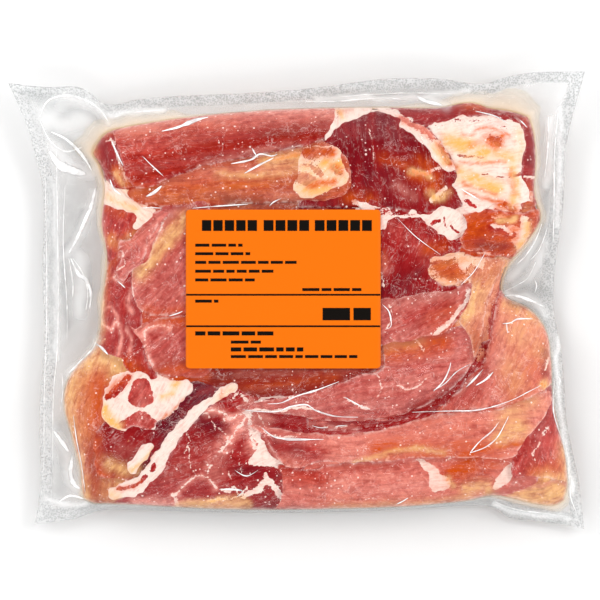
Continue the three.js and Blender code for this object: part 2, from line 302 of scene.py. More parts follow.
addSlice(
    "CrimsonRagged", 0.4, 80, {"deep": 0.2, "pale": 0.06},
    [(-104, -24), (-104, -5), (-102, 12), (-101, 28), (-92, 26), (-84, 24), (-80, 8), (-80, -10),
     (-78, -30), (-72, -40), (-84, -40), (-93, -31)],
    stroke("pale", 1, 1.2, (-92, 24), (-88, 20), (-93, 14), (-96, 12), (-90, 9)),
    stroke("fat", 0.55, 0.5, (-92, 24), (-88, 20), (-93, 14), (-96, 12), (-90, 9)),
    stroke("pale", 0.8, 0.9, (-100, -5), (-97, -3), (-95, -6), (-92, -10)),
    stroke("pale", 0.9, 1.1, (-101, -12), (-96, -15), (-93, -11), (-91, -20), (-93, -28)),
    stroke("fat", 0.5, 0.6, (-101, -12), (-96, -15), (-93, -11), (-91, -20)),
    stroke("pale", 0.8, 1, (-88, -14), (-86, -20), (-87, -27)),
    stroke("pale", 0.9, 1.2, (-86, 5), (-88, -2), (-85, -6)),
    stroke("warm", 0.8, 3, (-98, 30), (-95, 24), (-99, 16), (-100, 4)),
    stroke("gold", 0.8, 3, (-102, 20), (-102, 4), (-103, -10), (-104, -20)),
    stroke("fat", 1, 2.4, (-103, 18), (-102.5, 2), (-103.5, -12)),
    stroke("warm", 0.7, 4, (-88, -32), (-82, -37)),
)
addSlice(
    "LeftUpperLean", 0.55, 70, {"pale": 0.04},
    [(-102, 48), (-98, 50), (-88, 47), (-80, 44), (-78, 38), (-86, 32), (-91, 26), (-96, 20),
     (-101, 24), (-104, 38)],
    stroke("warm", 0.95, 4, (-97, 31), (-90, 29), (-84, 34), (-80, 39)),
    stroke("gold", 0.35, 3, (-97, 31), (-90, 29), (-84, 34)),
    stroke("warm", 0.5, 3, (-98, 48), (-90, 45)),
    stroke("pale", 0.5, 3, (-102, 28), (-103, 42)),
)
addSlice(
    "MedallionB", 0.5, 35, {"pale": 0.3, "cool": 0.12},
    [(-88, -12), (-83, -14), (-79, -12), (-70, -9), (-50, -8), (-40, -20), (-45, -38), (-58, -40),
     (-72, -38), (-76, -31), (-80, -24), (-84, -18)],
    stroke("pale", 1, 1.4, (-83, -15), (-80, -24), (-76, -31), (-72, -38)),
    stroke("fat", 0.55, 0.6, (-83, -15), (-80, -24), (-76, -31), (-72, -38)),
    stroke("pale", 1, 1.8, (-78, -25), (-79, -17), (-75, -13.5), (-68, -12.5), (-66, -14)),
    stroke("fat", 0.6, 0.8, (-78, -25), (-79, -17), (-75, -13.5), (-68, -12.5), (-66, -14)),
    stroke("warm", 0.75, 4, (-82, -9), (-70, -9), (-58, -11)),
    stroke("warm", 0.7, 4, (-70, -37), (-60, -35), (-50, -36)),
    stroke("deep", 0.25, 2, (-84, -26), (-78, -34)),
)
addSlice(
    "MedallionA", 0.75, 50, {"pale": 0.3, "cool": 0.1},
    [(-70, 49), (-58, 50), (-45, 50), (-40, 10), (-45, -9), (-58, -7), (-70, -8), (-80, -6), (-84, 0),
     (-86, 10), (-85, 18), (-78, 20), (-74, 30), (-70, 40)],
    stroke("gold", 0.85, 4, (-57, 43), (-66, 33), (-74, 24), (-81, 14)),
    stroke("pale", 0.4, 5, (-70, 2), (-60, 0)),
    stroke("warm", 0.3, 4, (-57, 41), (-66, 31), (-74, 22)),
    stroke("pale", 1, 1.8, (-66, 45), (-70, 38), (-74, 29), (-78, 20), (-84, 18), (-86, 10), (-84, 0)),
    stroke("fat", 0.65, 0.8, (-66, 45), (-70, 38), (-74, 29), (-78, 20), (-84, 18), (-86, 10),
           (-84, 0)),
    stroke("pale", 0.55, 4, (-84, 10), (-82, -2)),
    stroke("warm", 0.5, 3.5, (-80, -6), (-70, -7), (-60, -5)),
    stroke("fat", 0.5, 0.7, (-74, 6), (-68, 10), (-62, 14)),
)
addSlice(
    "PinkSliceLeft", 0.95, 40, {"pale": 0.42},
    [(-93, 30), (-91, 22), (-94, 15), (-90, 10), (-86, 14), (-80, 20), (-76, 30), (-72, 38), (-66, 45),
     (-72, 47), (-80, 40), (-86, 32)],
    stroke("fat", 0.6, 0.9, (-92, 27), (-89, 20), (-94, 15)),
    stroke("warm", 0.4, 3, (-82, 38), (-88, 31)),
    stroke("pale", 0.9, 2, (-70, 42), (-78, 28)),
)
# This slice's dark tone is partly its own and partly painted shadow of the label above it.
addSlice(
    "BelowLabelSlice", 0.3, 10, {"cool": 0.75, "deep": 0.45, "warm": 0.22},
    [(-72, -34), (-40, -30), (0, -28), (30, -28), (44, -34), (30, -42), (0, -50), (-20, -54),
     (-34, -48), (-60, -44)],
    stroke("warm", 0.8, 3.6, (-68, -39), (-56, -41), (-48, -39)),
    stroke("cool", 1, 4, (-42, -41), (-34, -43)),
    stroke("pale", 0.15, 3, (-30, -37), (0, -37), (30, -36)),
    stroke("warm", 0.5, 3, (-34, -46), (-20, -44), (0, -42), (20, -40)),
)
addSlice(
    "PurpleSlice", 0.4, 45, {"cool": 0.9},
    [(-56, -43), (-42, -44), (-34, -48), (-44, -56), (-56, -66), (-70, -82), (-80, -92), (-102, -92),
     (-106, -80), (-102, -64), (-88, -62), (-72, -62)],
    patch("cool", 0.15, 5, (-104, -64), (-86, -60), (-74, -66), (-78, -80), (-104, -92)),
    patch("deep", 0.55, 5, (-104, -64), (-86, -60), (-74, -66), (-78, -80), (-104, -92)),
    stroke("warm", 0.8, 5, (-106, -72), (-104, -90), (-90, -94)),
    stroke("gold", 0.7, 3.5, (-98, -84), (-91, -88), (-84, -88)),
    stroke("pale", 0.2, 4, (-90, -77), (-82, -79)),
)
addSlice(
    "FatMedallion", 0.8, 60, {"fat": 1.0},
    [(-99, -46), (-95, -40), (-90, -36), (-84, -36), (-78, -38), (-72, -41), (-64, -41), (-55, -42),
     (-54, -47), (-58, -52), (-64, -58), (-70, -63), (-76, -67), (-84, -66), (-92, -67), (-98, -64),
     (-101, -56)],
    patch("fat", 0, 0.8, (-84, -41), (-79, -40), (-76, -43), (-74, -50), (-78, -55), (-83, -55),
          (-87, -51), (-86, -46)),
    patch("fat", 0, 0.8, (-92, -65), (-88, -60), (-82, -57), (-76, -59), (-72, -64), (-80, -68)),
    stroke("fat", 0, 1.6, (-98, -50), (-92, -44), (-87, -39.5)),
    stroke("fat", 0, 1.2, (-94, -49), (-88, -43)),
    stroke("warm", 0.5, 3, (-99, -48), (-88, -40)),
    stroke("gold", 0.95, 2.6, (-100, -56), (-97, -62), (-92, -65)),
    stroke("gold", 0.9, 2.2, (-62, -42), (-64, -44)),
    stroke("warm", 0.9, 1.3, (-59, -52), (-66, -59), (-70, -63)),
    stroke("gold", 0.6, 1.6, (-70, -50), (-64, -48)),
    stroke("pale", 0.3, 7, (-80, -47), (-80, -62)),
)
addSlice(
    "LowerMiddleLean", 0.4, 20, {"deep": 0.22, "cool": 0.15},
    [(-36, -46), (-20, -50), (-4, -50), (6, -62), (6, -80), (2, -95), (0, -110), (-40, -109),
     (-80, -107), (-96, -106), (-84, -98), (-70, -85), (-56, -66)],
    stroke("pale", 1, 3.4, (-24, -55), (-30, -66), (-40, -78)),
    stroke("fat", 0.65, 1.4, (-24, -55), (-30, -66), (-40, -78)),
    stroke("pale", 0.9, 2.2, (-24, -55), (-33, -61), (-40, -57), (-46, -58)),
    stroke("fat", 0.6, 0.9, (-24, -55), (-33, -61), (-40, -57), (-46, -58)),
    stroke("pale", 1, 4, (-24, -57), (-24, -66), (-22, -76)),
    stroke("fat", 0.7, 1.8, (-24, -57), (-24, -66), (-22, -76)),
    stroke("pale", 1, 2.2, (-22, -56), (-16, -66), (-12, -76), (-6, -86)),
    stroke("fat", 0.65, 0.9, (-22, -56), (-16, -66), (-12, -76), (-6, -86)),
    stroke("fat", 0.7, 1.0, (-26, -52), (-30, -48), (-34, -52)),
    stroke("fat", 0.75, 1.3, (-22, -53), (-12, -50), (-4, -52)),
    patch("fat", 1, 0.8, (-23, -68), (-20, -75), (-25, -84), (-16, -86), (-7, -86), (-15, -78),
          (-18, -70)),
    stroke("fat", 1, 1.9, (-27, -102), (-20, -98), (-15, -93.5), (-10, -99), (-6, -106)),
    stroke("fat", 0.95, 1.2, (-15, -94), (-16, -90)),
    stroke("pale", 0.9, 1.6, (-64, -101), (-58, -96), (-52, -91), (-46, -92), (-42, -97)),
    stroke("fat", 0.62, 0.9, (-64, -101), (-58, -96), (-52, -91), (-46, -92), (-42, -97)),
    stroke("fat", 0.62, 0.7, (-56, -77), (-56, -84), (-53, -90)),
    stroke("fat", 0.7, 0.9, (-39, -98), (-35, -99), (-32, -96), (-30, -102), (-26, -97)),
    stroke("fat", 0.6, 0.7, (-50, -58), (-44, -61), (-42, -69)),
    stroke("fat", 0.6, 0.6, (-44, -56), (-39, -58), (-36, -63)),
    stroke("fat", 0.55, 0.7, (-42, -65), (-36, -70), (-34, -74)),
    stroke("fat", 0.55, 0.8, (-58, -68), (-55, -73), (-59, -79)),
    stroke("fat", 0.5, 0.5, (-33, -78), (-35, -88), (-34, -96)),
    stroke("fat", 0.5, 0.5, (-28, -74), (-30, -84), (-27, -92)),
    stroke("pale", 0.7, 2.5, (-38, -76), (-44, -80), (-46, -86)),
    stroke("fat", 0.5, 1.6, (-44, -84), (-46, -89)),
    stroke("pale", 0.35, 6, (-44, -80), (-42, -90)),
    stroke("pale", 0.15, 7, (-66, -92), (-56, -84)),
    stroke("pale", 0.3, 5, (-3, -88), (-2, -100)),
    stroke("cool", 0.4, 5, (-6, -72), (-4, -80)),
    stroke("pale", 0.8, 3, (-84, -105), (-60, -105.5), (-30, -107)),
    patch("gold", 0.7, 2, (-60, -104), (-46, -103), (-28, -101), (-25, -109), (-60, -109)),
    stroke("fat", 0.65, 1.4, (-64, -101), (-62, -107)),
    stroke("fat", 0.6, 1.5, (-46, -104), (-30, -102)),
    stroke("cool", 0.6, 5, (-46, -62), (-40, -66)),
    stroke("deep", 0.75, 6, (-52, -63), (-46, -68)),
    stroke("cool", 0.5, 4, (-30, -88), (-14, -90), (-4, -92)),
    stroke("deep", 0.5, 4, (-16, -104), (-14, -104)),
    stroke("pale", 0.6, 4, (-22, -58), (-16, -62)),
)
addSlice(
    "FatStrip", 1.0, 42, {"fat": 1.0},
    [(-97, -98), (-90, -95), (-84, -91), (-78, -86), (-72, -77), (-66, -69), (-58, -60), (-50, -53),
     (-44, -49), (-38, -45), (-33, -42.5), (-30, -44), (-33, -48.5), (-38, -51), (-44, -55), (-52, -62),
     (-59, -70), (-64, -78), (-69, -87), (-74, -94), (-80, -99), (-88, -103), (-96, -104)],
    patch("fat", 0, 0.5, (-76.5, -88.5), (-75, -85.5), (-72.5, -84.5), (-73, -87.5), (-75, -89.5)),
    stroke("fat", 0, 1.1, (-93, -97.5), (-87, -97), (-81, -94.5), (-78, -91.5)),
    stroke("warm", 0.6, 1.5, (-93, -97.5), (-87, -97), (-81, -94.5)),
    stroke("warm", 0.7, 0.7, (-84, -90), (-78, -85), (-74, -79)),
    stroke("gold", 0.6, 3, (-96, -101), (-93, -103)),
    stroke("gold", 0.25, 4, (-40, -52), (-34, -46)),
    stroke("warm", 0.5, 0.8, (-39, -51), (-39, -46)),
)
addSlice(
    "SmallFatPiece", 1.1, 42, {"fat": 1.0},
    [(-88, -88), (-86, -83), (-81, -77), (-76, -74), (-73.5, -76), (-76, -80), (-80, -85), (-84, -90)],
    stroke("gold", 0.8, 1.2, (-87, -89), (-80, -84), (-74, -77)),
)
addSlice(
    "LowestRoll", 0.45, 3, {"pale": 0.62, "warm": 0.16},
    [(-10, -84), (4, -88), (20, -85), (45, -83), (62, -80), (80, -80), (100, -78), (118, -80),
     (126, -92), (112, -101), (90, -105), (60, -108), (20, -110), (-10, -111), (-8, -98)],
    stroke("pale", 0.1, 7, (-6, -86), (4, -90), (12, -92)),
    # Deep along the valley here: partly crimson lean, partly painted shade of the valley.
    stroke("deep", 0.3, 3, (-8, -86), (10, -87), (30, -87), (50, -86)),
    stroke("pale", 0.8, 5, (24, -95), (60, -96)),
    stroke("warm", 0.35, 5, (10, -106), (60, -105), (90, -102)),
    stroke("gold", 0.4, 2.5, (20, -108), (60, -106), (90, -103)),
    stroke("cool", 0.25, 4, (20, -107), (60, -105), (90, -102)),
    stroke("warm", 0.85, 6, (82, -90), (92, -84)),
    stroke("deep", 0.35, 5, (84, -88), (92, -92)),
    stroke("pale", 0.2, 4, (78, -90), (90, -93), (98, -90)),
    stroke("pale", 0.35, 3, (16, -87), (34, -87), (54, -85)),
    stroke("gold", 0.7, 3.5, (88, -98), (98, -96), (100, -100)),
    patch("fat", 1, 0.9, (61, -82), (66, -83), (70, -85), (75, -89), (80, -93), (79, -97), (74, -99.5),
          (70, -98), (69, -91), (66, -87)),
    patch("fat", 1, 0.9, (103, -98), (104, -92), (107, -87), (112, -84), (117, -83), (114, -89),
          (109, -95)),
    stroke("gold", 0.8, 1.6, (79, -92), (81, -96)),
    stroke("fat", 0.6, 1, (78, -83), (84, -79)),
    stroke("warm", 0.6, 5, (100, -84), (104, -80)),
)
addSlice(
    "CornerSlice", 0.35, 15, {"gold": 0.75, "pale": 0.25, "cool": 0.12},
    [(100, -102), (112, -98), (124, -96), (136, -92), (146, -92), (146, -110), (120, -110),
     (104, -106)],
    stroke("gold", 0.4, 1.2, (112, -99), (126, -96), (134, -94), (141, -96)),
    stroke("pale", 0.8, 1.4, (112, -99), (126, -96), (134, -94), (141, -96)),
)
addSlice(
    "CrimsonPatchRight", 0.5, 70, {"pale": 0.15},
    [(132, -44), (140, -50), (144, -66), (146, -84), (144, -94), (134, -93), (122, -92), (112, -92),
     (112, -80), (120, -66), (126, -52)],
    stroke("gold", 0.75, 5, (141, -76), (142, -92), (128, -93)),
    stroke("pale", 0.35, 5, (136, -84), (140, -76)),
    stroke("deep", 0.2, 4, (132, -60), (126, -70), (120, -86)),
    stroke("fat", 0.7, 1.2, (130, -66), (128, -70)),
    stroke("fat", 0.55, 0.9, (126, -74), (122, -80), (124, -84)),
    stroke("warm", 0.6, 5, (136, -86), (124, -92)),
)
addSlice(
    "RollLower", 0.7, 5, {"pale": 0.85, "warm": 0.24},
    [(-26, -64), (-10, -66), (10, -69), (40, -68), (62, -62), (80, -58), (100, -57), (116, -52),
     (130, -46), (133, -52), (128, -62), (118, -74), (112, -82), (90, -82), (62, -82), (40, -84),
     (14, -84), (0, -87), (-8, -84), (-16, -72)],
    stroke("pale", 0.08, 8, (-14, -74), (0, -77), (8, -79)),
    stroke("warm", 0, 8, (-14, -74), (0, -77), (8, -79)),
    stroke("cool", 0.35, 5, (-10, -73), (0, -76)),
    stroke("deep", 0.25, 5, (-10, -76), (4, -80)),
    stroke("warm", 0.75, 6, (42, -77), (60, -74), (84, -76), (100, -78)),
    stroke("warm", 0.4, 7, (60, -68), (90, -66)),
    stroke("warm", 0.8, 3.5, (48, -80), (70, -80), (92, -80)),
    stroke("gold", 0.65, 1.6, (30, -84), (42, -81), (52, -78), (66, -77), (76, -79)),
    stroke("gold", 0.8, 5, (106, -70), (116, -66)),
    stroke("gold", 0.5, 6, (108, -60), (122, -52)),
    stroke("fat", 0.75, 1.3, (46, -84), (48, -81)),
    stroke("fat", 0.6, 1, (33, -86), (40, -84)),
    stroke("fat", 0.65, 0.9, (-18, -66), (-13, -70), (0, -71)),
    stroke("warm", 0.9, 1.5, (106, -76), (120, -73)),
)
# The valley slice's deep tone is partly crimson lean and partly painted shade of the valley.
addSlice(
    "ValleySlice", 0.1, 8, {"deep": 0.45},
    [(104, -20), (98, -32), (88, -42), (78, -54), (60, -61), (40, -66), (20, -68), (0, -66), (-20, -62),
     (-20, -54), (0, -55), (30, -60), (50, -58), (70, -52), (82, -42), (94, -24)],
    stroke("pale", 0.35, 2, (-14, -60), (10, -64), (30, -67)),
    stroke("fat", 0.5, 0.9, (8, -65), (16, -66)),
    stroke("fat", 0.5, 0.9, (20, -66), (26, -65)),
)
addSlice(
    "RightLobe", 0.75, 65, {"pale": 0.85, "warm": 0.34},
    [(106, 5), (114, 3), (122, -2), (129, -9), (134, -20), (135, -34), (132, -44), (122, -50),
     (106, -55), (90, -57), (76, -57), (86, -45), (96, -35), (100, -22), (102, -8)],
    stroke("gold", 0.6, 6, (108, -2), (116, -4), (124, -10)),
    stroke("gold", 0.4, 8, (112, -16), (124, -24)),
    stroke("pale", 0.9, 5, (101, -26), (104, -14)),
    # Deep along the valley here: partly crimson lean, partly painted shade of the valley.
    stroke("deep", 0.5, 5, (72, -50), (84, -46), (92, -42)),
    stroke("pale", 0.2, 8, (80, -53), (91, -47), (97, -38)),
    stroke("warm", 0.1, 8, (84, -50), (98, -46)),
    stroke("deep", 0.3, 5, (104, -30), (98, -38), (92, -48)),
    stroke("warm", 0.6, 6, (112, -48), (122, -40)),
    stroke("gold", 0.35, 7, (111, -34), (114, -44)),
    stroke("warm", 0, 5, (98, -37), (103, -30)),
    stroke("deep", 0.75, 3, (130, -26), (129, -34), (129, -40)),
    stroke("warm", 0.6, 6, (124, -28), (122, -38)),
    stroke("fat", 0.7, 0.9, (131, -30), (129, -36)),
    stroke("gold", 1, 2, (128, -43), (131, -45)),
    stroke("fat", 0.8, 1.3, (128, -43), (130, -45)),
    stroke("pale", 0.8, 2, (107, 1), (118, -1), (128, -8), (133, -22)),
    stroke("warm", 0.6, 0.8, (113, -4), (120, -7), (126, -9)),
    stroke("pale", 0.1, 2.8, (107, 6), (103.5, 0), (101, -10), (98, -22), (96, -32)),
    stroke("warm", 0.1, 2.8, (107, 6), (103.5, 0), (101, -10), (98, -22), (96, -32)),
    stroke("gold", 0, 3.2, (107, 6), (103.5, 0), (101, -10), (98, -22)),
    # Deep along the valley beside the ribbon: partly crimson lean, partly painted shade of the valley.
    stroke("deep", 0.6, 2.6, (107, 6), (103.5, 0), (101, -10), (98, -22), (96, -32)),
    stroke("fat", 0.5, 0.5, (104, 4), (103, -2), (101.5, -8)),
    stroke("pale", 0.15, 3, (129, -26), (129, -38)),
    stroke("warm", 0.1, 2.5, (129.5, -26), (129.5, -38)),
)
# The pale of this roll is partly paler lean and partly painted sheen of the film.
addSlice(
    "PinkRoll", 0.7, 12, {"pale": 0.36, "cool": 0.14},
    [(-30, -54), (-12, -51), (0, -48.5), (16, -44.5), (32, -38.5), (44, -34), (44, -12), (60, -8),
     (80, -14), (92, -10), (95, -22), (91, -34), (82, -44), (72, -52), (58, -58), (40, -62), (20, -63),
     (0, -60), (-16, -58), (-28, -57)],
    stroke("warm", 0.75, 5, (44, -27), (60, -25), (76, -22)),
    stroke("gold", 0.3, 4, (46, -24), (64, -22)),
    stroke("pale", 0.5, 4, (40, -45), (66, -42), (84, -30)),
    stroke("pale", 0.6, 3, (94, -16), (91, -28), (85, -36)),
    # Deep along the valley here: partly crimson lean, partly painted shade of the valley.
    stroke("deep", 0.65, 4, (60, -57), (76, -50), (88, -40)),
    stroke("pale", 0.08, 4, (60, -57), (76, -50), (88, -40)),
    stroke("fat", 0.7, 0.8, (25, -50), (32, -54), (38, -56.5)),
    stroke("fat", 0.6, 0.7, (40, -36), (44, -44), (42, -50)),
    stroke("fat", 0.6, 0.8, (-4, -50), (10, -47), (22, -42)),
    stroke("fat", 0.55, 0.7, (52, -44), (60, -46), (68, -40)),
    stroke("fat", 0.8, 0.9, (-25, -57), (-10, -57), (0, -55), (8, -56)),
    stroke("fat", 0.75, 1, (62, -20), (66, -26)),
    stroke("fat", 0.5, 0.7, (46, -16), (52, -22)),
)
addSlice(
    "RightCentreLean", 0.75, 70, {"deep": 0.3, "cool": 0.12},
    [(36, 50), (48, 48), (60, 47), (76, 46), (86, 34), (84, 26), (74, 22), (70, 16), (74, 9), (84, 7),
     (80, 3), (66, 3), (54, 0), (44, -1), (36, 0)],
    stroke("pale", 0.12, 5, (50, 38), (62, 30), (70, 22)),
    stroke("deep", 0.05, 6, (52, 36), (64, 28)),
    stroke("deep", 0.9, 5, (46, 6), (54, 10), (62, 14)),
    stroke("cool", 0.5, 4, (44, 3), (58, 6)),
    stroke("pale", 0.45, 3, (44, 22), (46, 16)),
    stroke("warm", 0.6, 3.5, (68, 26), (76, 28)),
    stroke("warm", 0.4, 2.5, (45, 18), (45, 24)),
    stroke("fat", 0.6, 1.2, (44, 14), (45, 8)),
)
addSlice(
    "RightCentreShelf", 0.85, 30, {"pale": 0.4, "cool": 0.15},
    [(42, 0), (54, 2), (66, 5), (80, 6), (90, 10), (93, 4), (90, -4), (84, -10), (76, -17), (64, -20),
     (50, -22), (40, -22)],
    stroke("cool", 0.6, 4, (44, -1), (60, 4), (78, 6)),
    stroke("deep", 0.3, 5, (60, 3), (84, 6)),
    stroke("pale", 0.2, 5, (60, -10), (78, -4)),
    stroke("warm", 0.35, 6, (72, -10), (80, -6)),
    stroke("fat", 0.9, 1.4, (89, 5), (87, -2), (81, -9), (74, -16)),
    stroke("warm", 0.8, 2.5, (83, -14), (75, -20), (62, -22)),
    stroke("fat", 0.6, 0.8, (48, -2), (50, -8), (47, -14)),
    stroke("fat", 0.6, 0.7, (46, -16), (50, -21)),
    stroke("fat", 0.9, 1.6, (72, -18), (76, -14)),
)
addSlice(
    "EdgeRibbon", 1.05, 72, {"gold": 0.35, "pale": 0.5, "warm": 0.2},
    [(109, 20), (104, 10), (100, 0), (98, -10), (96, -22), (92, -30), (90, -20), (84, -10), (88, -2),
     (90, 8), (88, 14), (92, 22), (102, 22)],
    stroke("gold", 0.8, 4, (86, -8), (92, -2), (94, 6)),
    stroke("fat", 0.72, 3, (89, 21), (96, 19)),
    stroke("fat", 0.6, 1, (104, 21), (100, 17)),
    stroke("pale", 0.9, 1.2, (106, 12), (101, 2), (98, -10), (95, -24)),
    stroke("warm", 0.6, 4, (102, 16), (96, 10)),
    stroke("gold", 0.2, 4, (96, -14), (94, -24)),
    stroke("pale", 0.3, 4, (94, -18), (92, -26)),
)
addSlice(
    "EyeOfLean", 0.6, 95, {"deep": 0.55, "cool": 0.2},
    [(14, 86), (20, 92), (28, 96), (40, 98), (52, 99), (62, 95), (70, 90), (76, 80), (82, 70), (84, 58),
     (88, 50), (76, 46), (60, 46), (40, 48), (14, 48), (0, 49), (10, 62), (14, 76)],
    stroke("deep", 1, 7, (26, 80), (36, 76), (34, 70)),
    stroke("deep", 1, 6, (40, 84), (56, 84), (64, 78)),
    stroke("cool", 0.5, 4, (24, 92), (40, 95), (52, 92)),
    stroke("fat", 0.5, 0.8, (38, 88), (40, 78), (39, 70)),
    stroke("cool", 0.45, 8, (46, 66), (34, 58)),
    stroke("warm", 0.6, 4, (64, 72), (70, 68), (72, 60)),
    stroke("warm", 0.65, 4, (26, 54), (38, 52)),
    stroke("fat", 0.75, 1.6, (60, 67), (66, 65), (70, 67), (73, 69)),
    stroke("gold", 0.85, 1.7, (59, 67), (64, 66), (69, 64)),
    stroke("warm", 0.8, 3, (60, 65), (70, 62)),
    stroke("fat", 0.85, 1.5, (70, 52), (73, 55), (77, 59)),
    stroke("gold", 0.8, 2.3, (69, 55), (74, 53), (78, 56)),
    stroke("warm", 0.7, 3, (68, 58), (72, 61)),
    # The cool band along the label's top edge is partly painted shadow of the label.
    stroke("cool", 0.5, 3, (20, 50), (50, 48)),
    stroke("deep", 0.7, 3, (80, 60), (84, 52)),
    stroke("pale", 0.3, 3, (52, 60), (60, 54)),
    stroke("fat", 0.55, 1.8, (60, 93), (66, 90), (72, 84)),
    stroke("fat", 0.9, 1.6, (30, 51), (38, 48), (44, 46)),
    stroke("warm", 0.55, 3, (44, 74), (56, 70)),
)
addSlice(
    "FatFingers", 0.95, 40, {"fat": 1.0},
    [(30, 52), (38, 50), (46, 48.5), (54, 45), (60, 46.5), (68, 45.5), (74, 48.5), (80, 48), (87, 45.5),
     (88.5, 38), (86, 34), (82, 30.5), (78, 32), (75, 33.5), (71, 36), (67, 39), (64, 42.5), (58, 42.5),
     (52, 42.5), (48, 40), (45, 36), (40, 36), (36, 44)],
    stroke("fat", 0, 0.9, (70, 40), (74, 42)),
    stroke("fat", 0.2, 0.7, (84, 35), (80, 39)),
    stroke("warm", 0.35, 2, (66, 39), (72, 35)),
    stroke("fat", 0.42, 3.6, (42, 46), (50, 46)),
    stroke("fat", 0.35, 0.7, (56, 45), (62, 44.5)),
    stroke("fat", 0.3, 0.6, (76, 44), (78, 38)),
)
addSlice(
    "PaleFatOrange", 0.9, 20, {"fat": 0.52, "gold": 0.4, "warm": 0.25},
    [(70, 22), (78, 23), (84, 26), (92, 24), (100, 22), (112, 23), (108, 16), (98, 12), (90, 9),
     (82, 8), (74, 9), (68, 12)],
    patch("fat", 0, 1, (71, 19), (76, 21), (83, 19), (86, 15), (84, 10), (76, 12)),
    stroke("warm", 0.8, 4, (74, 18), (84, 14)),
    stroke("gold", 0.1, 5, (74, 17), (84, 14)),
    stroke("fat", 0.8, 4, (90, 21), (94, 19)),
    stroke("deep", 0.35, 3, (74, 16), (84, 12)),
    stroke("fat", 1, 1.6, (76, 22), (82, 24), (88, 20), (86, 17)),
    stroke("fat", 0.9, 1.2, (70, 10), (78, 8), (82, 9)),
    stroke("fat", 0.9, 1.4, (92, 20), (98, 18), (104, 20)),
    stroke("gold", 0.8, 3, (96, 14), (106, 18)),
)
addSlice(
    "Knuckle", 1.0, 15, {"warm": 0.75, "deep": 0.12},
    [(87, 44), (92, 47), (100, 47), (110, 46), (118, 46), (126, 48), (128, 43), (124, 36), (119, 29),
     (113, 23), (106, 23), (98, 24), (92, 26), (86, 27), (84, 32), (88, 38)],
    stroke("deep", 0.5, 6, (92, 32), (104, 30)),
    stroke("warm", 1, 5, (92, 40), (100, 42)),
    stroke("fat", 0.75, 1.3, (101, 39), (107, 38), (111, 35)),
    stroke("warm", 0.1, 3, (101, 38), (108, 37)),
    stroke("fat", 0.95, 1.7, (112, 38), (116, 35), (113, 31)),
    stroke("fat", 1, 2.8, (118, 42), (119, 36), (116, 29)),
    stroke("gold", 0.75, 2.6, (120, 40), (120, 34), (116, 28)),
    stroke("warm", 0.05, 3.2, (119, 43), (119.5, 36), (116, 28)),
    stroke("gold", 0.9, 1.6, (104, 42), (110, 41), (114, 43)),
    stroke("fat", 0.7, 1.2, (102, 43.5), (110, 42)),
    stroke("fat", 0.8, 1.1, (90, 25), (97, 24.5), (104, 22.5)),
    stroke("warm", 0.25, 3, (94, 29), (108, 28)),
    stroke("deep", 0.9, 3, (95, 28), (108, 27)),
    stroke("cool", 0.25, 3, (94, 28), (106, 27)),
)
addSlice(
    "CrimsonRim", 0.85, 5, {"deep": 0.3, "cool": 0.1},
    [(38, 102), (52, 103), (72, 103), (90, 106), (104, 102), (116, 100), (126, 98), (128, 86),
     (128, 70), (127, 54), (122, 48), (116, 52), (116, 92), (90, 95), (70, 90), (56, 94), (46, 99)],
    stroke("fat", 0.9, 1.4, (44, 101), (50, 99), (54, 96)),
    stroke("fat", 0.7, 1, (46, 95), (52, 96), (60, 94)),
    stroke("deep", 0.4, 3, (84, 99), (104, 97)),
    stroke("warm", 0.6, 4, (121, 58), (120, 47)),
    stroke("gold", 0.35, 3, (120, 48), (118, 46)),
    stroke("deep", 0.65, 2.5, (121, 88), (121, 72)),
    stroke("fat", 0.85, 1, (118, 64), (122, 64), (125, 65)),
    stroke("fat", 0.85, 1.2, (118, 54), (122, 56), (122, 52)),
    stroke("warm", 0.7, 4, (88, 103), (96, 102)),
    stroke("warm", 0.75, 4, (122, 96), (126, 92)),
)
addSlice(
    "FatPad", 1.05, 12, {"fat": 1.0},
    [(69, 91), (76, 93), (82, 95.5), (90, 96.5), (98, 95), (106, 92), (113, 90), (118, 88), (119.5, 80),
     (118, 72), (118, 66), (121, 60), (122, 52), (115, 50), (112, 46), (104, 50), (98, 46), (92, 44.5),
     (86, 47), (84, 54), (81, 60), (83, 66), (81, 72), (76, 80), (72, 85)],
    stroke("gold", 0.95, 4.5, (80, 83), (90, 79), (98, 76)),
    stroke("gold", 0.85, 4, (84, 66), (92, 63), (104, 58)),
    stroke("gold", 0.6, 4, (104, 77), (112, 74)),
    stroke("gold", 0.3, 3, (116, 88), (117, 74)),
    stroke("warm", 1, 3.4, (100, 84), (104, 81), (106, 84)),
    stroke("fat", 0.64, 2.2, (72, 91), (84, 93.5), (94, 94), (108, 90)),
    stroke("warm", 0.85, 1.3, (74, 79), (78, 74), (83, 68)),
    stroke("fat", 0.3, 0.8, (75, 78), (80, 71)),
    stroke("warm", 0.75, 1.2, (88, 56), (98, 53), (108, 51)),
    stroke("warm", 0.6, 0.9, (92, 88), (100, 90), (110, 86)),
    stroke("fat", 0.3, 0.7, (84, 76), (90, 74.5), (97, 74)),
    stroke("warm", 0.6, 0.8, (86, 61), (94, 58), (104, 55)),
    stroke("fat", 0.35, 0.7, (96, 66), (104, 64), (111, 64)),
    stroke("fat", 0.2, 2.6, (101, 84), (105, 82)),
    stroke("warm", 0.45, 2, (90, 80), (95, 82)),
    stroke("gold", 0.75, 2.5, (112, 68), (114, 58), (112, 50)),
    stroke("warm", 0.5, 2, (111, 66), (113, 56)),
    stroke("fat", 0.2, 1.2, (118, 66), (113, 65)),
    stroke("warm", 0.5, 0.8, (84, 72), (96, 71), (108, 72)),
    stroke("fat", 0, 0.9, (88, 52), (92, 49)),
    stroke("warm", 0.9, 2.6, (106, 50), (114, 46)),
    stroke("fat", 0.1, 1.5, (108, 50), (113, 47)),
    stroke("warm", 0.6, 1, (86, 87), (92, 86)),
)
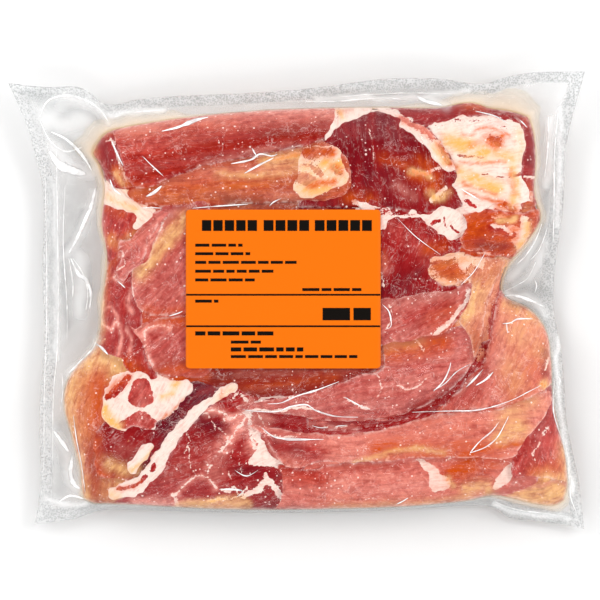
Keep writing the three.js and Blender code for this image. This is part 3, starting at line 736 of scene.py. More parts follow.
addSlice(
    "FatSeam", 1.1, 125, {"fat": 0.9},
    [(40, 101), (50, 99), (60, 94), (68, 89), (74, 83), (80, 75), (82, 68), (78, 66), (74, 70),
     (68, 78), (62, 84), (54, 89.5), (52, 94), (46, 97)],
    stroke("fat", 0.1, 2, (54, 95), (64, 90), (71, 85)),
    stroke("warm", 0.45, 3, (54, 95), (64, 90), (71, 85)),
    stroke("pale", 0.9, 3, (54, 95), (64, 90), (71, 85)),
    stroke("fat", 0, 1.4, (75, 80), (80, 71)),
    stroke("warm", 0.9, 2, (74, 81), (80, 71)),
    stroke("gold", 0.7, 2.5, (72, 80), (78, 72)),
)
addSlice(
    "SecondFold", 0.7, 5, {"warm": 0.4, "gold": 0.12, "pale": 0.1},
    [(-88, 56), (-82, 59), (-70, 63), (-58, 67), (-42, 72), (-20, 76), (0, 80), (12, 83), (20, 80),
     (28, 72), (28, 58), (20, 52), (0, 51), (-20, 50), (-50, 49), (-76, 49), (-84, 51)],
    stroke("warm", 0.8, 4, (-84, 57), (-70, 55), (-50, 57)),
    stroke("deep", 0.5, 4, (-80, 57), (-62, 54), (-30, 54)),
    stroke("fat", 0.75, 2.2, (-14, 73), (-4, 75), (4, 77)),
    stroke("gold", 0.85, 4, (-16, 72), (2, 74)),
    stroke("pale", 0.45, 3, (-50, 68), (-30, 68), (-10, 68)),
    stroke("gold", 0.5, 2.5, (-40, 66), (-20, 65), (0, 68)),
    stroke("warm", 0.9, 3, (-36, 60), (-16, 58)),
    stroke("deep", 0.4, 7, (-24, 61), (-4, 62)),
    # The cool band along the label's top edge is partly painted shadow of the label.
    stroke("cool", 0.85, 3.4, (-36, 51), (-10, 50.5), (12, 50)),
    stroke("warm", 0.1, 3, (-36, 51), (-10, 50.5), (12, 50)),
    stroke("pale", 0.4, 2.5, (-14, 54), (0, 54)),
)
addSlice(
    "YellowPatch", 0.9, 40, {"fat": 0.85, "gold": 0.45},
    [(3, 78), (8, 81), (16, 82), (22, 79), (25, 73), (27, 66), (27, 61), (22, 58), (15, 56), (8, 53),
     (1, 54), (-2, 60), (0, 68)],
    stroke("warm", 1, 3.6, (5, 77), (12, 77), (18, 77)),
    stroke("deep", 0.3, 3, (5, 77), (16, 77)),
    stroke("fat", 0.1, 3, (5, 76.5), (16, 77)),
    stroke("warm", 0.85, 2.2, (19, 69), (23, 67)),
    stroke("fat", 0.35, 1.8, (19, 69), (22, 67)),
    stroke("warm", 0.8, 2, (6, 60), (14, 61), (20, 61)),
    patch("fat", 0.25, 2, (0, 70), (10, 70), (14, 64), (4, 60), (-1, 62)),
    patch("pale", 0.6, 2, (0, 70), (10, 70), (14, 64), (4, 60), (-1, 62)),
    stroke("fat", 0.9, 1, (2, 68), (8, 67), (12, 62)),
    stroke("gold", 0.9, 2.5, (14, 71), (22, 71)),
    stroke("gold", 0.05, 3.4, (4, 77), (18, 77)),
    stroke("gold", 0.85, 3, (6, 57), (16, 58)),
)
addSlice(
    "LeftNub", 0.8, 100, {"deep": 0.3},
    [(-107, 78), (-105, 84), (-100, 89), (-93, 91), (-86, 88), (-83, 80), (-82, 68), (-84, 60),
     (-92, 58), (-99, 62), (-101, 70)],
    stroke("deep", 0.75, 3, (-101, 80), (-98, 72), (-96, 66)),
    stroke("fat", 0.8, 0.8, (-97, 84), (-93, 76), (-91, 68)),
    stroke("warm", 0.8, 2, (-105, 76), (-103, 70)),
    stroke("warm", 0.9, 3, (-93, 68), (-90, 62), (-85, 60)),
    stroke("gold", 0.75, 2, (-93, 66), (-90, 61)),
    stroke("fat", 0.75, 1.5, (-90, 66), (-87, 62)),
    stroke("warm", 0.8, 2.5, (-100, 88), (-92, 89)),
    stroke("fat", 0.6, 0.8, (-100, 84), (-95, 82), (-90, 84)),
    stroke("gold", 0.7, 2, (-106, 78), (-104, 86), (-98, 91)),
)
addSlice(
    "CreamFatLeft", 0.95, 140, {"fat": 1.0, "gold": 0.12},
    [(-99.5, 64), (-97, 57), (-92, 58), (-86, 53), (-81, 50), (-76, 46), (-74, 43), (-78, 40),
     (-83, 36.5), (-85, 39), (-83, 43), (-88, 46), (-94, 48.5), (-99, 50), (-101, 56)],
    stroke("warm", 0.6, 1, (-84, 52), (-80, 49)),
    stroke("gold", 0.5, 2, (-98, 55), (-92, 51), (-84, 47)),
    stroke("gold", 0.6, 1.5, (-92, 61), (-88, 57)),
)
addSlice(
    "TopRoll", 1.05, 7, {"deep": 0.05, "warm": 0.14},
    [(-96, 92), (-83, 95), (-65, 98), (-30, 101), (0, 103), (21, 104), (21, 96), (18, 89), (14.5, 84.5),
     (8, 81), (0, 79.5), (-10, 77), (-20, 75), (-30, 73), (-42, 71), (-50, 69), (-60, 65), (-68, 62),
     (-77, 58), (-84, 59), (-89, 64), (-91, 72), (-94, 82)],
    # The pale stroke over the roll's top and the cool and pale band along its lower edge are partly the
    # lean's tone and partly painted sheen and reflection of the film.
    stroke("pale", 0.9, 6, (-88, 89), (-60, 93), (-30, 97), (4, 99), (18, 98)),
    stroke("warm", 0.3, 6, (-90, 88), (-60, 91), (-34, 94)),
    stroke("pale", 0.12, 6, (-86, 80), (-70, 82), (-50, 86)),
    stroke("deep", 0.6, 5, (-58, 76), (-30, 82), (0, 87), (14, 88)),
    stroke("deep", 0.85, 4, (-24, 86), (0, 88), (14, 90)),
    stroke("deep", 0.4, 5, (-58, 82), (-40, 84)),
    stroke("cool", 0.6, 2.5, (-64, 64), (-44, 71), (-20, 76.5), (0, 81)),
    stroke("pale", 0.35, 1.6, (-50, 70), (-30, 75), (-4, 82)),
    stroke("deep", 0.35, 5, (-80, 66), (-70, 70)),
    stroke("warm", 0.5, 3, (-86, 60), (-78, 58)),
)
addSlice(
    "FatWedgeTop", 1.15, 80, {"fat": 1.0},
    [(20, 103), (30, 104), (40, 103), (38, 97.5), (31, 94.5), (24, 91.5), (19, 88), (15, 82.5),
     (14, 86), (17.5, 91), (19, 96)],
    stroke("gold", 0.7, 1.6, (22, 99), (24, 95)),
    stroke("warm", 0.35, 2, (22, 98), (28, 100)),
    stroke("fat", 0.5, 1, (22, 100), (21, 94)),
)


# Meshes. Depths and widths here are judged from the photo's shading.
sliceForm = {
    "underFilm": 1.6,  # from the film's height in the CAD source down to the stack of slices
    "clearance": 0.3,  # between the highest slice and the film
    "gridStep": 0.68, "thickness": 0.7,  # a slice's mesh, and how far it sinks into the stack
    "rimInset": 0.35,  # the slices end this far in from the edge of the meat
    "rounding": 1.3,  # radius of a slice's edge
    "waves": ((5, 0.14), (2.2, 0.08)),  # size and height of the waves on its face
    "nibbles": {True: (1.0, 0.8), False: (0.6, 0.3)},  # ragged edge of fat and of lean
    # Beside a higher slice: width of the painted shade, and its strength beside a fat and a lean slice.
    # Along a slice's rim: width of the painted glare.
    "creviceWidth": 2.0, "creviceDepth": {True: 0.3, False: 0.8}, "rimGlareWidth": 0.9,
    "fatAbove": 0.4,  # a piece with more fat than this in its base is fat
}
toneNames = ["deep", "cool", "pale", "warm", "gold"]
paintNames = toneNames + ["fat"]


# A mesh from millimetres, with one number or one vector for each vertex and attribute
def addPiece(name, points, faces, material, attributes=None, flat=False):
    mesh = bpy.data.meshes.new(name)
    mesh.from_pydata((np.asarray(points) / 1000).tolist(), [], faces)
    mesh.update()
    for key, values in (attributes or {}).items():
        values = np.asarray(values, np.float32)
        isVector = values.ndim == 2
        made = mesh.attributes.new(key, "FLOAT_VECTOR" if isVector else "FLOAT", "POINT")
        made.data.foreach_set("vector" if isVector else "value", values.ravel())
    mesh.polygons.foreach_set("use_smooth", [not flat] * len(mesh.polygons))
    mesh.materials.append(material)
    piece = bpy.data.objects.new(name, mesh)
    bpy.context.scene.collection.objects.link(piece)
    return piece


# Joins loops of vertex numbers of the same length, each loop to the next one
def bandFaces(loops):
    faces = []
    for lower, upper in zip(loops[:-1], loops[1:]):
        for i in range(len(lower)):
            k = (i + 1) % len(lower)
            faces.append((lower[i], lower[k], upper[k], upper[i]))
    return faces


def gridFaces(numbers):
    a, b, c, d = numbers[:-1, :-1], numbers[1:, :-1], numbers[1:, 1:], numbers[:-1, 1:]
    return [tuple(row) for row in np.stack([a, b, c, d], -1).reshape(-1, 4).tolist()]


# How much of each paint a point has, from the slice's own tone and the marks on it
def paintValues(cut, points):
    ragged = np.stack([
        0.7 * softNoise(points, 3.1, 11) + 0.35 * softNoise(points, 1.3, 12),
        0.7 * softNoise(points, 3.1, 13) + 0.35 * softNoise(points, 1.3, 14),
    ], -1)
    place = points + ragged
    values = {name: np.full(len(points), float(cut["base"].get(name, 0))) for name in paintNames}
    for mark in cut["marks"]:
        if "route" in mark:
            distance = routeDistance(place, smoothRoute(mark["route"], 2))
            cover = np.exp(-((distance / mark["reach"]) ** 2))
        else:
            inset = insetFrom(place, closedOutline(mark["area"]))
            cover = smoothstep(inset, -mark["soft"], mark["soft"])
        old = values[mark["paint"]]
        values[mark["paint"]] = old + (mark["amount"] - old) * cover
    return values


# Place along and across the fibres, for the grain of the lean
def fibrePlaces(cut, points):
    turn = math.radians(cut["fibres"])
    bend = 1.5 * softNoise(points, 14, 21)
    along = points[:, 0] * math.cos(turn) + points[:, 1] * math.sin(turn)
    across = -points[:, 0] * math.sin(turn) + points[:, 1] * math.cos(turn) + bend
    return np.stack([along, across, np.zeros(len(points))], -1)


# The points near a slice, given as true or false for each
def nearCut(points, cut, reach):
    low, high = cut["closed"].min(0) - reach, cut["closed"].max(0) + reach
    return np.all((points > low) & (points < high), axis=1)


# Height that the slices add to the stack, with soft edges, as the film over them follows it
def draped(points, soft):
    height = np.zeros(len(points))
    for cut in slices:
        near = nearCut(points, cut, soft)
        if near.any():
            inset = insetFrom(points[near], cut["closed"])
            added = cut["lift"] * smoothstep(inset, -soft, soft * 0.4)
            height[near] = np.maximum(height[near], added)
    return height


for number, cut in enumerate(slices):
    outline = closedOutline(cut["outline"], 0.9)
    outward = np.stack([softNoise(outline, 5, 31 + number), softNoise(outline, 5, 71 + number)], -1)
    nibbled = np.stack([softNoise(outline, 2, 131 + number), softNoise(outline, 2, 171 + number)], -1)
    cut["isFat"] = cut["base"].get("fat", 0) > sliceForm["fatAbove"]
    wide, small = sliceForm["nibbles"][cut["isFat"]]
    cut["closed"] = outline + wide * outward + small * nibbled


# How strong the painted shade and the pooled dark cure are near the edge of a higher slice, outside it
def creviceShadeBeside(points, number):
    beside = np.zeros(len(points))
    for higher in slices[number + 1:]:
        near = nearCut(points, higher, 4)
        if near.any():
            inset = insetFrom(points[near], higher["closed"])
            shadow = np.exp(-((inset / sliceForm["creviceWidth"]) ** 2))
            depth = sliceForm["creviceDepth"][higher["isFat"]]
            beside[near] = np.maximum(beside[near], depth * shadow)
    return beside


# A slice is a closed thin body on the stack: a grid cut to its outline, with a rounded edge
def sliceBody(cut, number):
    outline, step = cut["closed"], sliceForm["gridStep"]
    low, high = outline.min(0) - 2 * step, outline.max(0) + 2 * step
    xs, ys = np.arange(low[0], high[0], step), np.arange(low[1], high[1], step)
    grid = np.stack(np.meshgrid(xs, ys, indexing="ij"), -1)
    flatGrid = grid.reshape(-1, 2)
    inMeat = insetFrom(flatGrid, meatOutline) - sliceForm["rimInset"]
    inset = np.minimum(insetFrom(flatGrid, outline), inMeat).reshape(grid.shape[:2])
    slopeX, slopeY = np.gradient(inset, step)
    inside = inset > 0
    cells = inside[:-1, :-1] | inside[1:, :-1] | inside[1:, 1:] | inside[:-1, 1:]
    used = np.zeros(inside.shape, bool)
    for di in (0, 1):
        for dj in (0, 1):
            used[di:used.shape[0] - 1 + di, dj:used.shape[1] - 1 + dj] |= cells
    # Corners of cells that lie outside move in to the outline
    slope = np.maximum(slopeX**2 + slopeY**2, 0.25)
    outside = used & ~inside
    grid[outside, 0] -= (inset * slopeX / slope)[outside]
    grid[outside, 1] -= (inset * slopeY / slope)[outside]
    inset = np.where(outside, 0, inset)
    points, depth = grid[used], inset[used]
    count = len(points)
    numbers = np.full(inside.shape, -1)
    numbers[used] = np.arange(count)
    base = topHeight(points)[0] - sliceForm["underFilm"]
    rounding = np.sqrt(1 - (1 - np.minimum(depth / sliceForm["rounding"], 1)) ** 2)
    (wide, tall), (narrow, small) = sliceForm["waves"]
    waves = tall * softNoise(points, wide, 91) + small * softNoise(points, narrow, 92)
    upper = base + cut["lift"] * rounding + waves * smoothstep(depth, 0, 3)
    lower = base - sliceForm["thickness"]
    corners = [numbers[:-1, :-1], numbers[1:, :-1], numbers[1:, 1:], numbers[:-1, 1:]]
    quads = np.stack([c[cells] for c in corners], -1)
    walls = []
    padded = np.pad(cells, 1)
    for a, b, di, dj in ((0, 1, 0, -1), (1, 2, 1, 0), (2, 3, 0, 1), (3, 0, -1, 0)):
        beside = padded[1 + di:padded.shape[0] - 1 + di, 1 + dj:padded.shape[1] - 1 + dj]
        isEdge = cells & ~beside
        start, end = corners[a][isEdge], corners[b][isEdge]
        walls.append(np.stack([start + count, end + count, end, start], -1))
    faces = np.vstack([quads, quads[:, ::-1] + count] + walls)
    vertices = np.vstack([np.column_stack([points, upper]), np.column_stack([points, lower])])
    attributes = {name: np.tile(values, 2) for name, values in paintValues(cut, points).items()}
    attributes["fibre"] = np.tile(fibrePlaces(cut, points), (2, 1))
    attributes["crevice"] = np.tile(creviceShadeBeside(points, number), 2)
    # Painted glare of the film along the slice's rim
    attributes["rim"] = np.tile(np.exp(-((depth / sliceForm["rimGlareWidth"]) ** 2)), 2)
    return vertices, faces.tolist(), attributes


# Under the top slices lies the stack: a closed body with the edges of its slices round the side
stackForm = {
    "steps": (180, 150), "levels": 46,
    # It shrinks to this centre, by this share at the top and this share of the heel's radius below
    "centre": (8.0, 0.0), "top": 1.7 / 105, "heel": 1 / 112,
    "bottom": 0.4,  # the film's thickness and a little air under it
    "pitch": 3.1, "groove": 0.45, "grooveWidth": 0.02,  # thickness of a slice, and the gaps between
}


# Steps from 0 to 1 that are closer at both ends
def gradedSteps(count):
    even = np.arange(count + 1) / count
    return even + ((1 - np.cos(np.pi * even)) / 2 - even) * 0.6


def outlineNormals(loop):
    run = np.roll(loop, -1, axis=0) - np.roll(loop, 1, axis=0)
    run /= np.maximum(np.linalg.norm(run, axis=1), 1e-9)[:, None]
    return np.stack([-run[:, 1], run[:, 0]], -1)


# Numbers of a grid's points, and of those round its border
def borderNumbers(columns, rows):
    numbers = np.arange(columns * rows).reshape(columns, rows)
    return numbers, np.concatenate([
        numbers[:-1, 0], numbers[-1, :-1], numbers[:0:-1, -1], numbers[0, :0:-1],
    ])


def stackBody():
    u, v = gradedSteps(stackForm["steps"][0]), gradedSteps(stackForm["steps"][1])
    numbers, border = borderNumbers(len(u), len(v))
    centre, bottom = np.array(stackForm["centre"]), stackForm["bottom"]
    points = centre + (meatPatch(u, v).reshape(-1, 2) - centre) * (1 - stackForm["top"])
    top = topHeight(points)[0] - sliceForm["underFilm"]
    loop = points[border]
    inward = outlineNormals(loop)
    length = np.concatenate([[0], np.cumsum(np.linalg.norm(np.diff(loop, axis=0), axis=1))])
    around = np.stack([length, np.zeros(len(loop))], -1)
    wave = 1.6 * softNoise(around, 38, 41) + 0.7 * softNoise(around, 13, 42)
    levels = np.linspace(1, 0, stackForm["levels"])[1:-1]
    vertices = [np.column_stack([points, top])]
    loops = [border]
    inks = {name: [] for name in paintNames}
    for level in levels:
        height = bottom + (top[border] - bottom) * level
        heel = np.clip((seamHeight - webHalfGap - height) / (seamHeight - webHalfGap), 0, 1)
        pulled = heelRadius * (1 - np.sqrt(np.maximum(1 - heel**2, 0)))
        layer = (height + wave) / stackForm["pitch"]
        groove = np.exp(-(((layer % 1) - 0.5) ** 2) / stackForm["grooveWidth"])
        index = np.floor(layer)
        nibbled = 0.25 * softNoise(np.column_stack([length, index * 37]), 9, 43)
        depth = np.maximum(stackForm["groove"] * groove + nibbled, 0)
        loops.append(sum(len(part) for part in vertices) + np.arange(len(loop)))
        vertices.append(np.column_stack([loop + inward * (pulled + depth)[:, None], height]))
        # Each slice of the stack has its own run of fat and of tones
        tone = np.column_stack([length, index * 53.0])
        fatHere = smoothstep(softNoise(tone, 24, 44) + 0.35 * softNoise(tone, 7, 45), 0.15, 0.35)
        # The grooves between the stack's slices get less fat and deeper, cooler tones: painted shade.
        inks["fat"].append(fatHere * (1 - groove * 0.5))
        inks["deep"].append(0.35 + 0.5 * groove + 0.2 * softNoise(tone, 18, 46))
        inks["cool"].append(0.15 + 0.2 * groove)
        inks["pale"].append(0.25 + 0.25 * softNoise(tone, 15, 47))
        inks["warm"].append(np.clip(0.25 + 0.5 * softNoise(tone, 30, 48), 0, 1))
        inks["gold"].append(np.clip(0.15 + 0.5 * softNoise(tone, 26, 49), 0, 1))
    under = centre + (points - centre) * (1 - heelRadius * stackForm["heel"])
    firstUnder = sum(len(part) for part in vertices)
    loops.append(border + firstUnder)
    vertices.append(np.column_stack([under, np.full(len(under), bottom)]))
    faces = gridFaces(numbers) + bandFaces(loops[::-1])
    faces += [f[::-1] for f in gridFaces(numbers + firstUnder)]
    painted = {name: np.full(len(points), 0.3 if name == "deep" else 0.0) for name in paintNames}
    fibre = np.column_stack([points, np.zeros(len(points))])
    for cut in slices:
        near = np.flatnonzero(nearCut(points, cut, 3))
        near = near[insetFrom(points[near], cut["closed"]) > -2.5]
        values = paintValues(cut, points[near])
        for name in paintNames:
            painted[name][near] = values[name]
        fibre[near] = fibrePlaces(cut, points[near])
    attributes = {
        name: np.concatenate([painted[name]] + inks[name] + [np.full(len(points), 0.2)])
        for name in paintNames
    }
    sides = [
        np.column_stack([length, np.full(len(loop), 9.0 * k), length * 0]) for k in range(len(levels))
    ]
    attributes["fibre"] = np.vstack([fibre] + sides + [fibre])
    return np.vstack(vertices), faces, attributes


# Film: the whole pouch as one closed skin, over the slices, round the sealed rim and under them
filmForm = {
    "steps": (200, 166), "flangeSteps": 23,
    "sealWidths": {"bottom": 7.0, "top": 5.6, "left": 6.8, "right": 6.8},
    "sealFrost": {"bottom": 0.9, "top": 1.0, "left": 0.62, "right": 1.0},
    "heelShares": (0.005, 0.012, 0.022, 0.035, 0.05, 0.075),  # rings under the pack, the last one flat
}
# Glare and shade that the slack film shows: reach, amount, route
glare = [
    (2.6, 0.35, [(-119, 24), (-114, 34), (-109, 44), (-106, 56)]),
    (3.0, 0.35, [(-126, 80), (-118, 70), (-108, 66)]),
    (4.0, 0.3, [(-113, 22), (-112, 10), (-113, -6)]),
    (1.6, 0.45, [(-127, 60), (-126, 20), (-126, -30)]),
    (3.0, 0.35, [(-125, -71), (-121, -78), (-119, -92), (-116, -97)]),
    (2.0, 0.4, [(-119, -38), (-113, -32), (-106, -25), (-103, -20)]),
    (5.0, 0.3, [(-130, 96), (-122, 92), (-112, 94)]),
    (2.0, 0.3, [(-133, 100), (-130, 104), (-122, 107), (-112, 105), (-104, 100), (-98, 93)]),
    (1.8, 0.6, [(-98, 97), (-80, 99), (-70, 100)]),
    (1.4, 0.5, [(10, 105), (30, 106), (60, 106), (90, 109)]),
    (2.4, 0.4, [(68, 107), (73, 103), (78, 101)]),
    (1.6, 0.4, [(133, 95), (132, 80), (130, 60)]),
    (1.5, 0.5, [(138, 100), (137, 70), (136, 40)]),
    (2.0, 0.3, [(112, 12), (120, 20), (126, 32)]),
    (2.0, 0.35, [(109, 4), (116, 2), (124, 0), (130, -8)]),
    (2.0, 0.25, [(114, 8), (122, 12), (128, 22), (131, 30)]),
    (1.4, 0.6, [(136, -20), (137, -50), (141, -80), (144, -100)]),
    (1.4, 0.5, [(104, -106), (112, -110), (126, -112), (142, -114)]),
    (1.5, 0.5, [(-131, -104), (-120, -107), (-110, -106)]),
]
shade = [
    (7, 0.3, [(-117, 55), (-116, 30), (-118, -10)]),
    (1.6, 0.8, [(-128, 60), (-127, 20), (-127, -30)]),
    (1.8, 0.8, [(-112, 47), (-117, 34), (-123, 25)]),
    (1.8, 0.9, [(-109, 18), (-108, 4), (-112, -8)]),
    (1.8, 0.7, [(-122, 20), (-121, 0), (-120, -14)]),
    (2.5, 0.6, [(-128, 88), (-116, 80), (-108, 72)]),
    (2, 0.7, [(-124, 96), (-114, 99), (-104, 94)]),
    (4, 0.5, [(-122, -66), (-123, -98)]),
    (5, 0.8, [(-138, 108), (-130, 104)]),
    (4, 0.8, [(-110, -108.5), (-50, -110), (50, -110), (100, -106)]),
    (3, 0.6, [(15, 106), (45, 109), (85, 109)]),
    (4, 0.9, [(116, 8), (122, 5), (130, 4)]),
    (2, 0.9, [(118, 16), (128, 34), (131, 60)]),
    (1.8, 0.8, [(112, -1), (124, -5), (132, -14)]),
    (2, 0.6, [(135, 60), (134, 50), (132, 20)]),
    (2, 0.7, [(136, -30), (138, -55), (143, -85)]),
    (2, 0.7, [(108, -109), (122, -114), (138, -117)]),
]


# The strongest of the soft strokes that pass over a point
def strokeCover(points, strokes):
    cover = np.zeros(len(points))
    for reach, amount, route in strokes:
        distance = routeDistance(points, smoothRoute(route, 2))
        cover = np.maximum(cover, amount * np.exp(-((distance / reach) ** 2)))
    return cover


# Seal, glare, shade and the film beside the meat, as numbers for the film's material
def filmPaint(points, isFlange):
    wavered = points + np.stack([softNoise(points, 6, 61), softNoise(points, 6, 62)], -1)
    seal = np.zeros(len(points))
    for name, width in filmForm["sealWidths"].items():
        if name == "bottom":  # folded under the meat between the two flared corners
            width = width * smoothstep(np.abs(points[:, 0]), 98, 112)
        distance = routeDistance(points, sideRun(pouchSides, name, np.linspace(0, 1, 80)))
        band = filmForm["sealFrost"][name] * (1 - smoothstep(distance, width - 0.5, width + 0.3))
        seal = np.maximum(seal, band)
    return {
        "glare": strokeCover(wavered, glare), "shade": strokeCover(wavered, shade),
        "seal": seal * isFlange, "web": isFlange,
    }


# Edge of the meat, edge of the pouch and height of its rim, at shares along one side
def flangeRows(name, shares):
    station = evenPlaces(meatSides[name], shares)
    inner, outer = curvePoints(meatSides[name], station), curvePoints(pouchSides[name], station)
    return np.column_stack([inner, outer, curvePoints(rimSides[name], station)[:, 1]])


def filmBody():
    u, v = gradedSteps(filmForm["steps"][0]), gradedSteps(filmForm["steps"][1])
    numbers, border = borderNumbers(len(u), len(v))
    points = meatPatch(u, v).reshape(-1, 2)
    full, inset = topHeight(points)
    cling = smoothstep(inset, 0.5, 4)
    ripple = 0.1 * softNoise(points, 7, 51) + 0.05 * softNoise(points, 2.5, 52)
    lowered = sliceForm["underFilm"] - sliceForm["clearance"] - draped(points, 2.0) - ripple
    vertices, loopsTop = [np.column_stack([points, full - lowered * cling])], [border]
    rows = np.vstack([
        flangeRows("bottom", u[:-1]), flangeRows("right", v[:-1]),
        flangeRows("top", u[:0:-1]), flangeRows("left", v[:0:-1]),
    ])
    inner, outer, rim = rows[:, :2], rows[:, 2:4], rows[:, 4]
    extent = np.linalg.norm(outer - inner, axis=1)
    under = []
    for step in np.linspace(0, 1, filmForm["flangeSteps"]):
        place = inner + (outer - inner) * step
        middle = seamHeight + (rim - seamHeight) * smoothstep(step, 0, 1)
        slack = math.sin(math.pi * step) * np.minimum(extent / 12, 1)
        middle = middle + slack * (0.9 * softNoise(place, 9, 53) + 0.4 * softNoise(place, 4, 54))
        half = filmHalfGap + (webHalfGap - filmHalfGap) * np.exp(-extent * step / webReach)
        if step > 0:
            loopsTop.append(sum(len(part) for part in vertices) + np.arange(len(place)))
            vertices.append(np.column_stack([place, middle + half]))
        under.append(np.column_stack([place, middle - half]))
    loopsUnder = []
    for part in under[::-1]:
        loopsUnder.append(sum(len(p) for p in vertices) + np.arange(len(part)))
        vertices.append(part)
    firstUnder = sum(len(p) for p in vertices)
    # Under the meat the film rounds the heel and lies flat on the table
    for share in filmForm["heelShares"]:
        ring = meatPatch(share + (1 - 2 * share) * u, share + (1 - 2 * share) * v).reshape(-1, 2)[border]
        across = np.minimum(np.maximum(insetFrom(ring, meatOutline), 0) / heelRadius, 1)
        heel = (seamHeight - webHalfGap) * (1 - np.sqrt(1 - (1 - across) ** 2))
        if share == filmForm["heelShares"][-1]:
            heel = np.zeros(len(ring))
        loopsUnder.append(sum(len(p) for p in vertices) + np.arange(len(ring)))
        vertices.append(np.column_stack([ring, heel]))
    centre = sum(len(p) for p in vertices)
    vertices.append(np.zeros((1, 3)))
    last = loopsUnder[-1]
    fan = [(centre, int(last[(i + 1) % len(last)]), int(last[i])) for i in range(len(last))]
    faces = gridFaces(numbers) + bandFaces(loopsTop[::-1])
    faces += bandFaces([loopsUnder[0], loopsTop[-1]]) + bandFaces(loopsUnder[::-1]) + fan
    vertices = np.vstack(vertices)
    isFlange = np.zeros(len(vertices))
    isFlange[len(points):firstUnder] = 1
    return vertices, faces, filmPaint(vertices[:, :2], isFlange)
